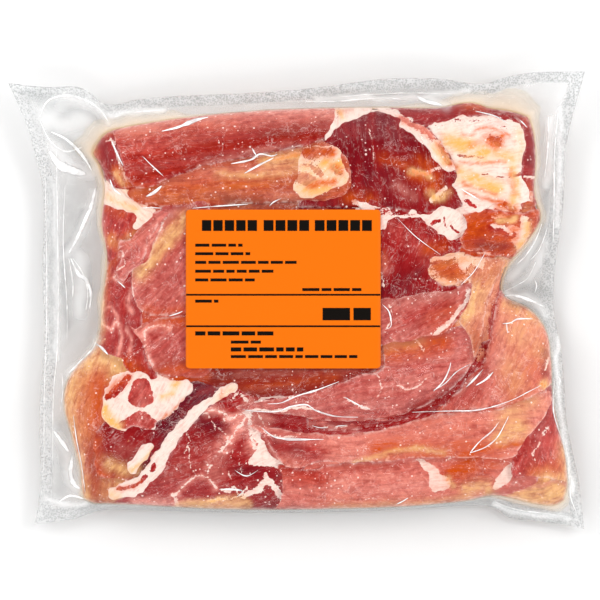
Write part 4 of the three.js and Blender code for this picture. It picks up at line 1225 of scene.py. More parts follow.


# Sharp creases of the film, painted white where they catch the light: half width, height, route
creases = [
    (1.2, 0.5, [(-70, 88), (-62, 90), (-52, 94), (-46, 95.5)]),
    (0.35, 0.4, [(-80, 75), (-75, 70), (-69, 64.5)]),
    (0.9, 0.5, [(-34, 71), (-24, 73), (-19, 76), (-13, 75), (-10, 76)]),
    (0.5, 0.4, [(-23, 79), (-22, 77), (-20, 74)]),
    (0.8, 0.5, [(-27, 66), (-20, 70), (-12, 74)]),
    (0.9, 0.5, [(-78, 54), (-74, 56), (-70, 59.5)]),
    (0.8, 0.5, [(-97, 63), (-95, 58), (-91, 55)]),
    (0.7, 0.4, [(-96, 83), (-93, 76), (-90, 70)]),
    (0.45, 0.4, [(-80, 48), (-75, 48.2), (-70, 48)]),
    (0.5, 0.4, [(-54, 47.9), (-40, 49), (-25, 50)]),
    (0.6, 0.4, [(-14, 49), (-12, 51), (-8, 53)]),
    (0.5, 0.4, [(93, 98.5), (103, 96), (110, 92)]),
    (0.4, 0.4, [(116, 94), (118, 92), (120, 90)]),
    (0.5, 0.4, [(85, 58), (90, 55), (95, 52)]),
    (0.3, 0.35, [(52, 43), (62, 33), (75, 23.5)]),
    (0.3, 0.35, [(85, 8), (92, 15), (98, 25)]),
    (0.4, 0.4, [(44.5, -2), (48, -6), (49, -13), (46, -15)]),
    (0.6, 0.5, [(-15, -53.5), (-8, -53), (0, -49.5), (10, -46.5), (22, -42)]),
    (0.55, 0.5, [(-28, -56.5), (-20, -57.5), (-10, -57.5), (-3, -55), (5, -54), (10, -57), (20, -60),
                 (32, -60.5)]),
    (0.8, 0.5, [(-18, -66), (-13, -70), (-8, -71.5), (0, -72), (14, -72)]),
    (0.6, 0.5, [(71, -47), (76, -42), (79, -36), (80, -32)]),
    (0.5, 0.5, [(71, -46.5), (77, -43), (83, -37), (90, -33)]),
    (0.6, 0.5, [(88, -45), (92, -41), (97, -35.5)]),
    (0.7, 0.5, [(93, -44), (98, -41), (102, -37)]),
    (0.45, 0.45, [(60, -58), (80, -57.3), (92, -57), (102, -55), (112, -51.5), (120, -47.5),
                  (127, -44)]),
    (0.5, 0.5, [(90, -79), (95, -73), (101, -68), (105, -63)]),
    (0.5, 0.5, [(90, -79), (98, -76), (104, -71), (108, -64), (110, -60)]),
    (0.6, 0.5, [(107, -12), (111, -11.5), (115, -9.5), (123, -9.5)]),
    (0.4, 0.4, [(109, -12), (109.2, -15), (109.5, -17)]),
    (0.4, 0.4, [(25, -50), (32, -54), (38, -56.5)]),
    (0.5, 0.4, [(-66, -8), (-62, -6.8), (-59, -5.5)]),
    (0.5, 0.4, [(-93, 10), (-91, 8.5), (-89, 6.5)]),
    (0.6, 0.4, [(-40, -98), (-33, -98), (-28, -99), (-31, -102)]),
    (0.7, 0.45, [(52, -106), (55, -104.5), (58, -102.5)]),
    (0.4, 0.4, [(-116, -60), (-114.5, -72), (-112, -85), (-110, -100)]),
    (0.35, 0.35, [(8, -65), (12, -66), (16, -66)]),
    (0.35, 0.35, [(20, -65.5), (23, -65), (26, -65)]),
    (0.35, 0.35, [(-32, -88), (-26, -91), (-20, -88)]),
    # In the slack film of the left edge
    (1.4, 0.2, [(-119, 25), (-115, 32), (-110, 43), (-107, 50), (-105, 59)]),
    (0.5, 0.2, [(-117, 22), (-112, 15), (-109, 5), (-110, -5)]),
    (0.4, 0.2, [(-119, 22), (-117, 10), (-117, 2)]),
    (1.3, 0.2, [(-118, 22), (-114, 14), (-110, 11), (-107.5, 4), (-108, -4)]),
    (3.0, 0.2, [(-129, 78), (-124, 71), (-117, 68), (-110, 66)]),
    (0.8, 0.25, [(-119, -38), (-113, -32), (-107, -26), (-104.5, -21)]),
    (0.8, 0.25, [(-105.5, -22), (-102, -24), (-98, -28)]),
    (1.5, 0.2, [(-127, -68), (-123, -73), (-119, -79)]),
    (1.7, 0.2, [(-117, -81), (-118, -90), (-116, -96), (-113, -98)]),
    (0.7, 0.2, [(-124, -105), (-118, -101.8), (-111, -103.5)]),
    (0.3, 0.2, [(-122.5, -38), (-122, -48), (-123.5, -58)]),
    (0.3, 0.2, [(-125.5, 78), (-125, 40), (-124.6, 5), (-125, -25), (-127, -50), (-127.5, -90)]),
    (0.25, 0.2, [(-131.6, 70), (-130.8, 30), (-130.6, -10), (-131.8, -50), (-132.2, -90)]),
    (0.3, 0.2, [(-121, 60), (-122, 30), (-120, -2), (-120, -20)]),
    # In the left top corner
    (0.7, 0.2, [(-134, 96), (-130, 104), (-121, 107), (-111, 105), (-103, 100), (-98, 93)]),
    (0.5, 0.2, [(-134, 94), (-129, 84), (-121, 78), (-112, 80)]),
    (0.9, 0.2, [(-128, 88), (-120, 84), (-112, 76), (-107, 68)]),
    # In the top edge
    (0.5, 0.2, [(-95, 96), (-84, 98.5), (-70, 99.5)]),
    (0.4, 0.2, [(-6, 104.2), (20, 104), (44, 105.6), (60, 104.5)]),
    (0.3, 0.2, [(18, 106), (40, 107.6), (60, 108.4), (84, 107.8)]),
    (1.4, 0.2, [(63, 106.5), (68, 104), (76, 102)]),
    # In the right edge
    (0.6, 0.2, [(131.5, 96), (131, 80), (129.5, 64)]),
    (0.5, 0.2, [(136.5, 98), (134.5, 76), (134.5, 56), (134, 30)]),
    (0.4, 0.2, [(109, 5), (115, 8), (121, 12), (125, 20)]),
    (1.0, 0.2, [(108.5, 2.4), (113, 2.8), (121, 0.6), (129, -3)]),
    (0.5, 0.2, [(114, 18), (120, 24), (125, 32), (128, 40)]),
    (0.4, 0.2, [(124, 12), (125.5, 8), (124.5, 4)]),
    (0.4, 0.2, [(122, 21), (127, 27), (131, 38)]),
    (0.4, 0.2, [(134.6, -42), (133.6, -56), (136, -66), (139, -74), (141, -86)]),
    (0.4, 0.2, [(135, -38), (137.6, -42), (134.5, -50)]),
    (0.35, 0.2, [(143, -92), (143, -102), (146, -110)]),
    (0.4, 0.2, [(104, -105.4), (114, -109), (128, -111), (142, -113)]),
]


# Each crease is a closed thin ridge with a lens section, laid on the film below it
def creaseBody(film):
    vertices, faces = [], []
    skin = BVHTree.FromPolygons(*film)

    def filmHeight(points):
        hits = [skin.ray_cast((x, y, 100), (0, 0, -1))[0] for x, y in points]
        return np.array([hit.z if hit else np.nan for hit in hits])

    section = [(-1, 0), (-0.6, 0.7), (0, 1), (0.6, 0.7), (1, 0), (0, -0.6)]
    count, first = len(section), 0
    for halfWidth, height, route in creases:
        line = smoothRoute(route, 0.8)
        middle = filmHeight(line)
        line, middle = line[~np.isnan(middle)], middle[~np.isnan(middle)]
        run = np.gradient(line, axis=0)
        run /= np.linalg.norm(run, axis=1)[:, None]
        normal = np.stack([-run[:, 1], run[:, 0]], -1)
        share = np.linspace(0, 1, len(line))
        taper = np.sin(np.pi * np.clip(share * 0.94 + 0.03, 0, 1)) ** 0.6
        taper = taper * (0.75 + 0.35 * softNoise(line, 4, 81))
        rings = []
        for across, up in section:
            place = line + normal * (across * halfWidth * taper)[:, None]
            beside = filmHeight(place)
            beside = np.where(np.isnan(beside), middle, beside)
            base = np.clip(beside, middle - halfWidth, middle + halfWidth) + 0.05
            rings.append(np.column_stack([place, base + up * height * taper]))
        vertices.append(np.stack(rings, 1).reshape(-1, 3))
        loops = [range(first + i * count, first + (i + 1) * count) for i in range(len(line))]
        faces += bandFaces(loops)
        faces += [tuple(loops[0])[::-1], tuple(loops[-1])]
        first += len(line) * count
    return np.vstack(vertices), faces


# Cure that has run out of the slices into the corners of the film
juice = {
    # How far it reaches beyond the meat, in even steps along each side
    "reach": {
        "bottom": [1, 0.6, 0.5, 0.5, 0.5, 0.5, 0.5, 0.5, 0.5, 0.5, 1, 3, 4],
        "right": [4, 2, 1.2, 1, 1, 1, 1, 1, 1, 1.2, 3, 3.5, 3, 2, 3, 8],
        "top": [10, 8, 5, 1, 0.5, 0.5, 0.5, 0.5, 0.5, 1, 3, 8, 11, 8],
        "left": [3, 2, 1, 1, 1, 1, 1.5, 2, 3, 3, 2, 3, 5, 10, 10],
    },
    "mostReach": 0.6,  # as a share of the way to the edge of the pouch
    "under": 0.9,  # how far it reaches in under the slices
    "stations": 150, "steps": (0, 0.25, 0.5, 0.75, 0.92, 1.0),
    "filmGap": 0.25, "fullness": 0.85,
    "clear": "#FFFCF6", "thin": "#FFF5E8", "thick": "#FFDCA4",
    "goldPower": 3, "cover": 0.72, "roughness": 0.3,
}


def juiceBody():
    rows, reach = [], []
    even = np.arange(juice["stations"]) / juice["stations"]
    for name, shares in (("bottom", even), ("right", even), ("top", 1 - even), ("left", 1 - even)):
        sideReach = juice["reach"][name]
        rows.append(flangeRows(name, shares))
        reach.append(np.interp(shares, np.linspace(0, 1, len(sideReach)), sideReach))
    rows, reach = np.vstack(rows), np.concatenate(reach)
    inner, outer, rim = rows[:, :2], rows[:, 2:4], rows[:, 4]
    reach = reach * (1 + 0.35 * softNoise(inner, 7, 55))
    extent = np.linalg.norm(outer - inner, axis=1)
    reach = np.minimum(reach, extent * juice["mostReach"])
    vertices, cloudy, loops = [], [], []
    steps = juice["steps"]
    for side, step in [(1, step) for step in steps] + [(-1, step) for step in steps[-2::-1]]:
        away = (reach + juice["under"]) * step - juice["under"]
        beyond = np.maximum(away, 0)
        place = inner + (outer - inner) * (away / extent)[:, None]
        middle = seamHeight + (rim - seamHeight) * smoothstep(beyond / extent, 0, 1)
        half = filmHalfGap + (webHalfGap - filmHalfGap) * np.exp(-beyond / webReach)
        thick = (half - juice["filmGap"]) * math.sqrt(1 - step**2) * juice["fullness"] * side
        loops.append(len(vertices) * len(rows) + np.arange(len(rows)))
        vertices.append(np.column_stack([place, middle + thick]))
        cloudy.append(np.full(len(rows), (1 - step) ** 0.8))
    faces = bandFaces((loops + [loops[0]])[::-1])
    return np.vstack(vertices), faces, {"cloudy": np.concatenate(cloudy)}


# Label, as in the CAD source but finer, and its print as a thin layer of ink
def labelPoints(x, y, lift):
    centre = labelForm["centre"]
    points = np.column_stack([np.ravel(x) + centre[0], np.ravel(y) + centre[1]])
    return np.column_stack([points, topHeight(points)[0] + labelForm["gap"] + lift])


# A thin closed sheet along the label, from columns and rows of places on it
def sheetBody(x, rows, back, face):
    y = np.broadcast_to(rows[None], x.shape)
    numbers, border = borderNumbers(*x.shape)
    faces = gridFaces(numbers) + [tuple(f[::-1]) for f in gridFaces(numbers + numbers.size)]
    faces += bandFaces([border + numbers.size, border])
    return np.vstack([labelPoints(x, y, face), labelPoints(x, y, back)]), faces


def labelBody():
    half, radius = labelForm["height"] / 2, labelForm["cornerRadius"]
    corner = half - radius * (1 - np.sin(np.linspace(0, math.pi / 2, 7)))
    rows = np.concatenate([-corner[::-1], np.linspace(-half + radius, half - radius, 41)[1:-1], corner])
    into = np.maximum(np.abs(rows) - (half - radius), 0)
    halfWidths = labelForm["width"] / 2 - (radius - np.sqrt(np.maximum(radius**2 - into**2, 0)))
    x = np.linspace(-1, 1, 57)[:, None] * halfWidths[None]
    return sheetBody(x, rows, 0, labelForm["thickness"])


# Plain blocks of print on the label, placed by the photo, in millimetres on the pack
printed = {
    # Rows of heavy bars: left and right end, middle, height, pitch and gap of the bars
    "bars": [(-49, -20.5), (-17, 6.5), (9.5, 39)],
    "barMiddle": 38.9, "barHeight": 5.6, "barPitch": 5.4, "barGap": 1.1,
    # Rows of small blocks: left and right end, middle, height
    "rows": [
        (-52.5, -28, 28.7, 1.5), (-52.5, -24, 24.3, 1.5), (-52.5, 0, 19.8, 1.5),
        (-52.5, -12, 15.2, 1.5), (-52.5, -20, 10.7, 1.5), (3, 34, 5.7, 1.5),
        (-52.5, -40.5, -0.3, 1.5), (-52.5, -10.5, -17, 2.1), (-34, -18.5, -21.5, 1.5),
        (-34, 3.5, -25.3, 2.1), (-34, 31.5, -29, 1.5),
    ],
    "blockSize": 1.7, "blockLengths": (2.2, 5.5), "blockGap": 0.7, "leastRest": 0.4,
    # Two boxes and two ruled lines: left end, middle, width, height
    "single": [
        (13.5, -7, 14.2, 6.4), (29.5, -7, 9, 6.4),
        (-57.2, 3.0, 100.6, 0.9), (-57.2, -13.3, 100.6, 0.9),
    ],
    "inkAbove": 0.12, "inkBelow": 0.05,
}


def printBlocks():
    blocks = []
    for left, right in printed["bars"]:
        gap = printed["barGap"]
        count = round((right - left) / printed["barPitch"])
        pitch = (right - left + gap) / count
        for k in range(count):
            blocks.append((left + k * pitch, printed["barMiddle"], pitch - gap, printed["barHeight"]))
    size = printed["blockSize"]
    for index, (left, right, middle, height) in enumerate(printed["rows"]):
        random = np.random.default_rng(200 + index)
        while left < right - size * printed["leastRest"]:
            width = min(size * random.uniform(*printed["blockLengths"]), right - left)
            blocks.append((left, middle, width, height))
            left += width + size * printed["blockGap"]
    return blocks + printed["single"]


def printBody():
    vertices, faces, first = [], [], 0
    centreX, centreY = labelForm["centre"]
    back = labelForm["thickness"] - printed["inkBelow"]
    face = labelForm["thickness"] + printed["inkAbove"]
    for left, middle, width, height in printBlocks():
        rows = np.linspace(middle - height / 2, middle + height / 2, max(int(height), 1) + 1) - centreY
        x = np.linspace(left, left + width, max(int(width), 1) + 1)[:, None] - centreX + 0 * rows[None]
        made, madeFaces = sheetBody(x, rows, back, face)
        vertices.append(made)
        faces += [tuple(n + first for n in corners) for corners in madeFaces]
        first += len(made)
    return np.vstack(vertices), faces


# Materials
def linear(hexColour):
    channels = [int(hexColour[i:i + 2], 16) / 255 for i in (1, 3, 5)]
    return [c / 12.92 if c <= 0.04045 else ((c + 0.055) / 1.055) ** 2.4 for c in channels] + [1]


# Adds a node with its settings, and with its sockets' values or links, and gives one of its outputs
def addNode(tree, kind, settings=None, sockets=None, output=0):
    node = tree.nodes.new("ShaderNode" + kind)
    for key, value in (settings or {}).items():
        setattr(node, key, value)
    for key, value in (sockets or {}).items():
        if isinstance(value, bpy.types.NodeSocket):
            tree.links.new(value, node.inputs[key])
        else:
            node.inputs[key].default_value = value
    return node.outputs[output] if node.outputs else node


# A bare material, and the function above for its own nodes
def newMaterial(name):
    material = bpy.data.materials.new(name)
    material.use_nodes = True
    material.node_tree.nodes.clear()
    return material, partial(addNode, material.node_tree)


# Settings that many nodes share
plus, minus, times = {"operation": "ADD"}, {"operation": "SUBTRACT"}, {"operation": "MULTIPLY"}
timesPlus, clamped = {"operation": "MULTIPLY_ADD"}, {"operation": "MULTIPLY", "use_clamp": True}
isLess, power = {"operation": "LESS_THAN"}, {"operation": "POWER"}
easedRange, colours = {"interpolation_type": "SMOOTHSTEP"}, {"data_type": "RGBA"}

pork = {
    # Colours of the lean and the fat, as in the photo
    "tones": {
        "leanDark": "#98080E", "leanLight": "#C83632", "deep": "#840410", "cool": "#6A1424",
        "pale": "#EA9A8C", "warm": "#CC5010", "gold": "#E8B67C",
        "fat": "#F4DFD4", "fatPink": "#EABDB0", "fatGold": "#F2B868", "fatWarm": "#DC6C30",
        "bloom": "#FFEAE3", "crevice": "#780A12", "fibreDark": "#E6D8D8", "fibreLight": "#FFFFFF",
    },
    # Patterns that follow the fibres, such as bundles 1.4 mm wide: waves to a millimetre along and
    # across them, detail, roughness, distortion
    "fibrous": {
        "grain": (0.1, 0.7, 3, 0.6, 0.4),
        "hair": (0.3, 1.8, 2, 0.6, 0),
        "cloud": (0.05, 0.2, 3, 0.55, 0.3),
        "marbling": (0.07, 0.3, 4, 0.6, 0.6),
    },
    # Patterns without a direction: waves to a millimetre, detail, roughness, distortion
    "even": {
        "mottle": (0.3, 4, 0.62, 0.5),
        "fine": (1, 2, 0.6, 0),
        "wander": (0.11, 4, 0.65, 1.2),
        "region": (0.07, 2, 0.6, 0),
    },
    # Sums of patterns: what they start from, and how much of each pattern they take
    "sums": {
        "uneven": (-1.3, {"cloud": 1.2, "grain": 0.5, "mottle": 0.9}),
        "streaks": (0, {"grain": 0.4, "mottle": 0.42, "hair": 0.18}),
        "ragged": (-1.35, {"fat": 1, "fine": 0.9, "grain": 0.8, "mottle": 1}),
        "relief": (0, {"fine": 0.5, "grain": 0.8}),
        "threadMiddle": (-0.5, {"wander": 1}),
        "veinMiddle": (-0.5, {"marbling": 1}),
        "paintSwing": (1, {"uneven": 1.7}),
    },
    # Eased steps through a pattern: its name, where the step starts and where it ends
    "steps": {
        "leanShare": ("streaks", 0.32, 0.68),
        "fibreShare": ("streaks", 0.36, 0.6),
        "fatShade": ("streaks", 0.46, 0.64),
        "fatShare": ("ragged", 0.44, 0.58),
        "rimPatches": ("mottle", 0.42, 0.6),
        "creviceTone": ("uneven", -0.3, 0.2),
        "crowd": ("cloud", 0.35, 0.65),
        "dusty": ("mottle", 0.44, 0.74),
        "thread": ("threadMiddle", 0.014, 0),
        "threadPatches": ("region", 0.48, 0.6),
        "vein": ("veinMiddle", 0.022, 0),
        "veinPatches": ("mottle", 0.4, 0.6),
    },
    # Thin layers over the meat: what they are, where they lie, how strong they are, their tone
    "layers": [
        ("rim", "rimPatches", 0.5, "bloom"),  # painted glare of the film along the slices' rims
        ("crevice", "creviceTone", 0.55, "crevice"),  # dark cure pooled beside the higher slices, with painted shade there
        ("fleck", "everywhere", 0.8, "bloom"),  # foam and fat under the film
        ("dust", "everywhere", 0.22, "bloom"),
        ("thread", "threadPatches", 0.4, "bloom"),  # threads of fascia
        ("vein", "veinPatches", 0.2, "bloom"),
    ],
    # Flecks and dust: cells to a millimetre, how much of a cell they fill, how rare large ones are
    "fleckCells": 0.5, "fleckReach": (0.22, 0.12), "fleckPower": 3,
    "dustCells": 1.2, "dustReach": 0.3,
    "fibreAmount": 0.6,
    "bumpStrength": 0.35, "bumpDepth": 0.0008,
    "roughness": 0.45, "ior": 1.4, "specular": 0.12,
}


# Cured raw pork, machine sliced: streaky red lean, cream fat with a ragged edge, and a wet face that
# shines little under the film, with pale flecks of foam
def curedPork():
    material, add = newMaterial("curedPork")
    tone = {key: linear(value) for key, value in pork["tones"].items()}
    place = add("TexCoord", output="Object")
    millimetres = add("VectorMath", {"operation": "SCALE"}, {0: place, "Scale": 1000})
    fibre = add("Attribute", {"attribute_name": "fibre"}, output="Vector")
    value = {"everywhere": 1}
    for name in paintNames + ["rim", "crevice"]:
        value[name] = add("Attribute", {"attribute_name": name}, output="Fac")
    for name, (along, across, detail, roughness, distortion) in pork["fibrous"].items():
        stretched = add("VectorMath", times, {0: fibre, 1: (along, across, 1)})
        value[name] = add("TexNoise", None, {
            "Vector": stretched, "Scale": 1, "Detail": detail,
            "Roughness": roughness, "Distortion": distortion,
        })
    for name, (scale, detail, roughness, distortion) in pork["even"].items():
        value[name] = add("TexNoise", None, {
            "Vector": millimetres, "Scale": scale, "Detail": detail,
            "Roughness": roughness, "Distortion": distortion,
        })
    for name, (start, parts) in pork["sums"].items():
        value[name] = start
        for part, amount in parts.items():
            value[name] = add("Math", timesPlus, {0: value[part], 1: amount, 2: value[name]})
    for name in ("threadMiddle", "veinMiddle"):
        value[name] = add("Math", {"operation": "ABSOLUTE"}, {0: value[name]})
    for name, (source, low, high) in pork["steps"].items():
        value[name] = add("MapRange", easedRange, {0: value[source], 1: low, 2: high})

    # Each paint is broken up by the clouds and the fibres
    share = {}
    for name in toneNames:
        share[name] = add("Math", clamped, {0: value["paintSwing"], 1: value[name]})
    colour = add("Mix", colours, {0: value["leanShare"], 6: tone["leanDark"], 7: tone["leanLight"]}, 2)
    for name in toneNames:
        colour = add("Mix", colours, {0: share[name], 6: colour, 7: tone[name]}, 2)
    # Darker and lighter fibres show through every tone
    dark, light = tone["fibreDark"], tone["fibreLight"]
    fibres = add("Mix", colours, {0: value["fibreShare"], 6: dark, 7: light}, 2)
    darkened = {"data_type": "RGBA", "blend_type": "MULTIPLY"}
    colour = add("Mix", darkened, {0: pork["fibreAmount"], 6: colour, 7: fibres}, 2)
    fatTone = add("Mix", colours, {0: value["fatShade"], 6: tone["fat"], 7: tone["fatPink"]}, 2)
    for name, fatName in (("gold", "fatGold"), ("warm", "fatWarm")):
        fatTone = add("Mix", colours, {0: share[name], 6: fatTone, 7: tone[fatName]}, 2)
    colour = add("Mix", colours, {0: value["fatShare"], 6: colour, 7: fatTone}, 2)

    # Flecks are cells of random size, more of them in the clouds, and dust is even
    cells = add("TexVoronoi", None, {"Vector": millimetres, "Scale": pork["fleckCells"]})
    chance = add("SeparateColor", None, {0: cells.node.outputs["Color"]})
    wide, least = pork["fleckReach"]
    reach = add("Math", timesPlus, {0: value["crowd"], 1: wide, 2: least})
    chance = add("Math", power, {0: chance, 1: pork["fleckPower"]})
    reach = add("Math", times, {0: chance, 1: reach})
    value["fleck"] = add("Math", isLess, {0: cells, 1: reach})
    cells = add("TexVoronoi", None, {"Vector": millimetres, "Scale": pork["dustCells"]})
    reach = add("Math", times, {0: value["dusty"], 1: pork["dustReach"]})
    value["dust"] = add("Math", isLess, {0: cells, 1: reach})
    for name, where, amount, toneName in pork["layers"]:
        cover = add("Math", times, {0: value[name], 1: value[where]})
        cover = add("Math", times, {0: cover, 1: amount})
        colour = add("Mix", colours, {0: cover, 6: colour, 7: tone[toneName]}, 2)

    bump = add("Bump", None, {
        "Strength": pork["bumpStrength"], "Distance": pork["bumpDepth"], "Height": value["relief"],
    })
    shader = add("BsdfPrincipled", None, {
        "Base Color": colour, "Roughness": pork["roughness"], "IOR": pork["ior"],
        "Specular IOR Level": pork["specular"], "Normal": bump,
    })
    add("OutputMaterial", None, {"Surface": shader})
    return material


filmLook = {
    "tones": {"clear": "#FFFFFF", "shade": "#E2E4E4", "seal": "#C2C5C5", "milky": "#FAFAFA"},
    # Frosting of the seal: cells to a metre, grit to a metre with its detail and roughness, its step
    "cells": 1100, "grit": (700, 3, 0.7), "frost": (0.7, 1.25),
    # How white the frost, the glare and the film beside the meat make it
    "milk": (("frost", 0.12), ("glare", 0.6), ("web", 0.2)), "mostMilk": 0.9, "milkRoughness": 0.4,
    "gloss": 0.45, "glossRoughness": 0.07, "ior": 1.45,
    "creaseGrit": (160, 3), "creaseStep": (0.35, 0.6), "creaseShare": (0.5, 0.45),
    "creaseRoughness": 0.25,
}


# Clear nylon and polyethylene film, drawn tight by vacuum and heat sealed: nearly unseen on the
# meat, with thin reflections, and frosted grey and white where it is sealed
def clearFilm():
    material, add = newMaterial("clearFilm")
    tone = {key: linear(value) for key, value in filmLook["tones"].items()}
    place = add("TexCoord", output="Object")
    scale, detail, roughness = filmLook["grit"]
    cells = add("TexVoronoi", None, {"Vector": place, "Scale": filmLook["cells"]})
    grit = add("TexNoise", None, {
        "Vector": place, "Scale": scale, "Detail": detail, "Roughness": roughness,
    })
    value = {}
    for name in ("seal", "shade", "glare", "web"):
        value[name] = add("Attribute", {"attribute_name": name}, output="Fac")
    low, high = filmLook["frost"]
    speckle = add("MapRange", easedRange, {0: add("Math", plus, {0: cells, 1: grit}), 1: low, 2: high})
    value["frost"] = add("Math", times, {0: value["seal"], 1: speckle})
    plainSeal = add("Math", minus, {0: value["seal"], 1: value["frost"]})
    tint = add("Mix", colours, {0: value["shade"], 6: tone["clear"], 7: tone["shade"]}, 2)
    tint = add("Mix", colours, {0: plainSeal, 6: tint, 7: tone["seal"]}, 2)
    clear = add("BsdfTransparent", None, {"Color": tint})
    milky = add("BsdfPrincipled", None, {
        "Base Color": tone["milky"], "Roughness": filmLook["milkRoughness"],
    })
    white = 0
    for name, amount in filmLook["milk"]:
        white = add("Math", timesPlus, {0: value[name], 1: amount, 2: white})
    white = add("Math", {"operation": "MINIMUM"}, {0: white, 1: filmLook["mostMilk"]})
    body = add("MixShader", None, {0: white, 1: clear, 2: milky})
    gloss = add("BsdfGlossy", None, {"Color": tone["clear"], "Roughness": filmLook["glossRoughness"]})
    edge = add("Math", times, {0: add("Fresnel", None, {"IOR": filmLook["ior"]}), 1: filmLook["gloss"]})
    shader = add("MixShader", None, {0: edge, 1: body, 2: gloss})
    add("OutputMaterial", None, {"Surface": shader})
    return material


# The same film where it is creased sharply: white, partly from stress whitening that scatters the light
# and partly as painted glare
def creaseGlareFilm():
    material, add = newMaterial("creaseGlareFilm")
    white = linear(filmLook["tones"]["clear"])
    clear = add("BsdfTransparent", None, {"Color": white})
    bright = add("BsdfPrincipled", None, {"Base Color": white, "Roughness": filmLook["creaseRoughness"]})
    place = add("TexCoord", output="Object")
    scale, detail = filmLook["creaseGrit"]
    grit = add("TexNoise", None, {"Vector": place, "Scale": scale, "Detail": detail})
    low, high = filmLook["creaseStep"]
    patchy = add("MapRange", easedRange, {0: grit, 1: low, 2: high})
    swing, least = filmLook["creaseShare"]
    share = add("Math", timesPlus, {0: patchy, 1: swing, 2: least})
    shader = add("MixShader", None, {0: share, 1: clear, 2: bright})
    add("OutputMaterial", None, {"Surface": shader})
    return material


# Cure that has run out of the meat, cloudy with protein: cream, and golden where it is deep
def cloudyCure():
    material, add = newMaterial("cloudyCure")
    cloudy = add("Attribute", {"attribute_name": "cloudy"}, output="Fac")
    clear = add("BsdfTransparent", None, {"Color": linear(juice["clear"])})
    depth = add("Math", power, {0: cloudy, 1: juice["goldPower"]})
    thick = add("Mix", colours, {0: depth, 6: linear(juice["thin"]), 7: linear(juice["thick"])}, 2)
    cream = add("BsdfPrincipled", None, {"Base Color": thick, "Roughness": juice["roughness"]})
    share = add("Math", times, {0: cloudy, 1: juice["cover"]})
    shader = add("MixShader", None, {0: share, 1: clear, 2: cream})
    add("OutputMaterial", None, {"Surface": shader})
    return material


# Plain surfaces: colour, roughness, specular level
plainSurfaces = {
    "orangeLabelPaper": ("#DC6600", 0.5, 0.15),  # coated paper, even and dull
    "blackInk": ("#0C0805", 0.5, 0.1),  # thermal print, a warm black
    "whiteTable": ("#E2E2E2", 0.8, 0.5),  # matt painted board
}


def plainSurface(name):
    material, add = newMaterial(name)
    colour, roughness, specular = plainSurfaces[name]
    shader = add("BsdfPrincipled", None, {
        "Base Color": linear(colour), "Roughness": roughness, "IOR": 1.5, "Specular IOR Level": specular,
    })
    add("OutputMaterial", None, {"Surface": shader})
    return material


# A finished piece takes its place in the frame
def placePiece(piece, node):
    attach(piece, "root")
    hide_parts(node)


porkMaterial = curedPork()
vertices, faces, attributes = stackBody()
placePiece(addPiece("SliceStack", vertices, faces, porkMaterial, attributes), "bag")
print("stack made")
for number, cut in enumerate(slices):
    vertices, faces, attributes = sliceBody(cut, number)
    placePiece(addPiece(cut["name"], vertices, faces, porkMaterial, attributes), "bag")
print("top slices made")
vertices, faces, attributes = filmBody()
placePiece(addPiece("PouchFilm", vertices, faces, clearFilm(), attributes), "bag")
vertices, faces = creaseBody((vertices.tolist(), faces))
placePiece(addPiece("FilmCreases", vertices, faces, creaseGlareFilm()), "bag")
vertices, faces, attributes = juiceBody()
placePiece(addPiece("CuringJuice", vertices, faces, cloudyCure(), attributes), "bag")
print("film made")
vertices, faces = labelBody()
placePiece(addPiece("PackLabel", vertices, faces, plainSurface("orangeLabelPaper")), "label")
vertices, faces = printBody()
ink = plainSurface("blackInk")
placePiece(addPiece("LabelPrint", vertices, faces, ink, flat=True), "label")
print("label made")

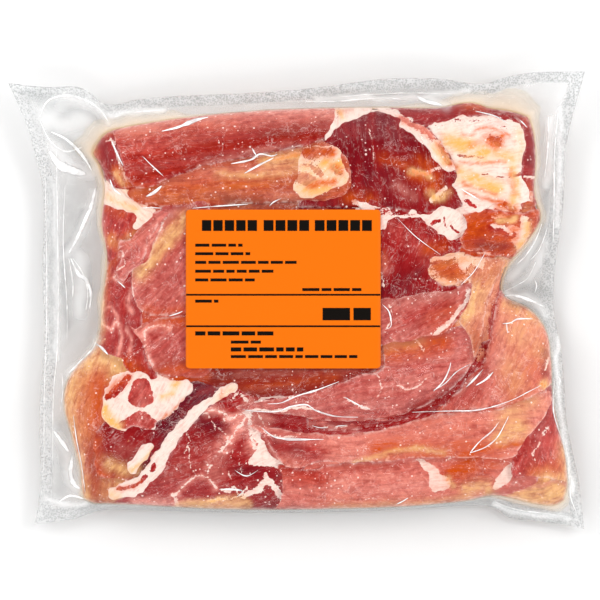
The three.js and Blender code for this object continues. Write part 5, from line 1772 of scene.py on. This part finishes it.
studio = {
    "floorReach": 3000,  # half the table's side in millimetres
    # The tent over the pack is open at the top, so that flat film reflects little
    "tentHeights": (0.76, 0.92), "tentStrengths": (1.3, 0.08),
    # Softboxes: azimuth and height above the table in degrees, distance, width and length, power
    "softboxes": [
        (20, 52, 1.1, 0.35, 0.5, 3.6),
        (150, 50, 1.1, 0.3, 0.5, 2.7),
        (265, 48, 1.2, 0.35, 0.6, 2.2),
        (75, 58, 1.2, 0.03, 0.7, 0.35),
        (200, 62, 1.2, 0.03, 0.7, 0.3),
    ],
    "glossyWidth": 0.1,  # only softboxes narrower than this show in the film
    # The camera looks straight down on the pack, and its picture is this wide in metres at this height
    "frameWidth": 0.312, "height": 0.03, "middle": (0.0018, 0.0003), "lens": 400, "sensor": 36,
}

# Table, light and camera
side = studio["floorReach"]
floorBody = addPiece(
    "Table", [(-side, -side, 0), (side, -side, 0), (side, side, 0), (-side, side, 0)],
    [(0, 1, 2, 3)], plainSurface("whiteTable"),
)

world = bpy.data.worlds.new("softRoom")
world.use_nodes = True
towards = addNode(world.node_tree, "TexCoord", output="Generated")
upward = addNode(world.node_tree, "SeparateXYZ", None, {0: towards}, "Z")
low, high = studio["tentHeights"]
below, above = studio["tentStrengths"]
tent = addNode(world.node_tree, "MapRange", easedRange, {0: upward, 1: low, 2: high, 3: below, 4: above})
background = world.node_tree.nodes["Background"]
background.inputs["Color"].default_value = (1, 1, 1, 1)
world.node_tree.links.new(tent, background.inputs["Strength"])
bpy.context.scene.world = world

for index, (azimuth, elevation, distance, width, length, watts) in enumerate(studio["softboxes"]):
    light = bpy.data.lights.new(f"Softbox{index + 1}", "AREA")
    light.shape = "RECTANGLE"
    light.size, light.size_y = width, length
    light.energy = watts
    box = bpy.data.objects.new(light.name, light)
    box.visible_glossy = width < studio["glossyWidth"]
    turn, rise = math.radians(azimuth), math.radians(elevation)
    level = distance * math.cos(rise)
    box.location = (level * math.cos(turn), level * math.sin(turn), distance * math.sin(rise))
    box.rotation_euler = (math.pi / 2 - rise, 0, turn + math.pi / 2)
    bpy.context.scene.collection.objects.link(box)

camera = bpy.data.cameras.new("Overhead")
camera.sensor_width = studio["sensor"]
camera.lens = studio["lens"]
camera.clip_end = 20
overhead = bpy.data.objects.new("Overhead", camera)
distance = studio["frameWidth"] * camera.lens / camera.sensor_width
overhead.location = (*studio["middle"], studio["height"] + distance)
bpy.context.scene.collection.objects.link(overhead)
bpy.context.scene.camera = overhead
bpy.context.scene.view_settings.view_transform = "Standard"
bpy.context.scene.view_settings.look = "None"
print("light and camera made")

print("done")
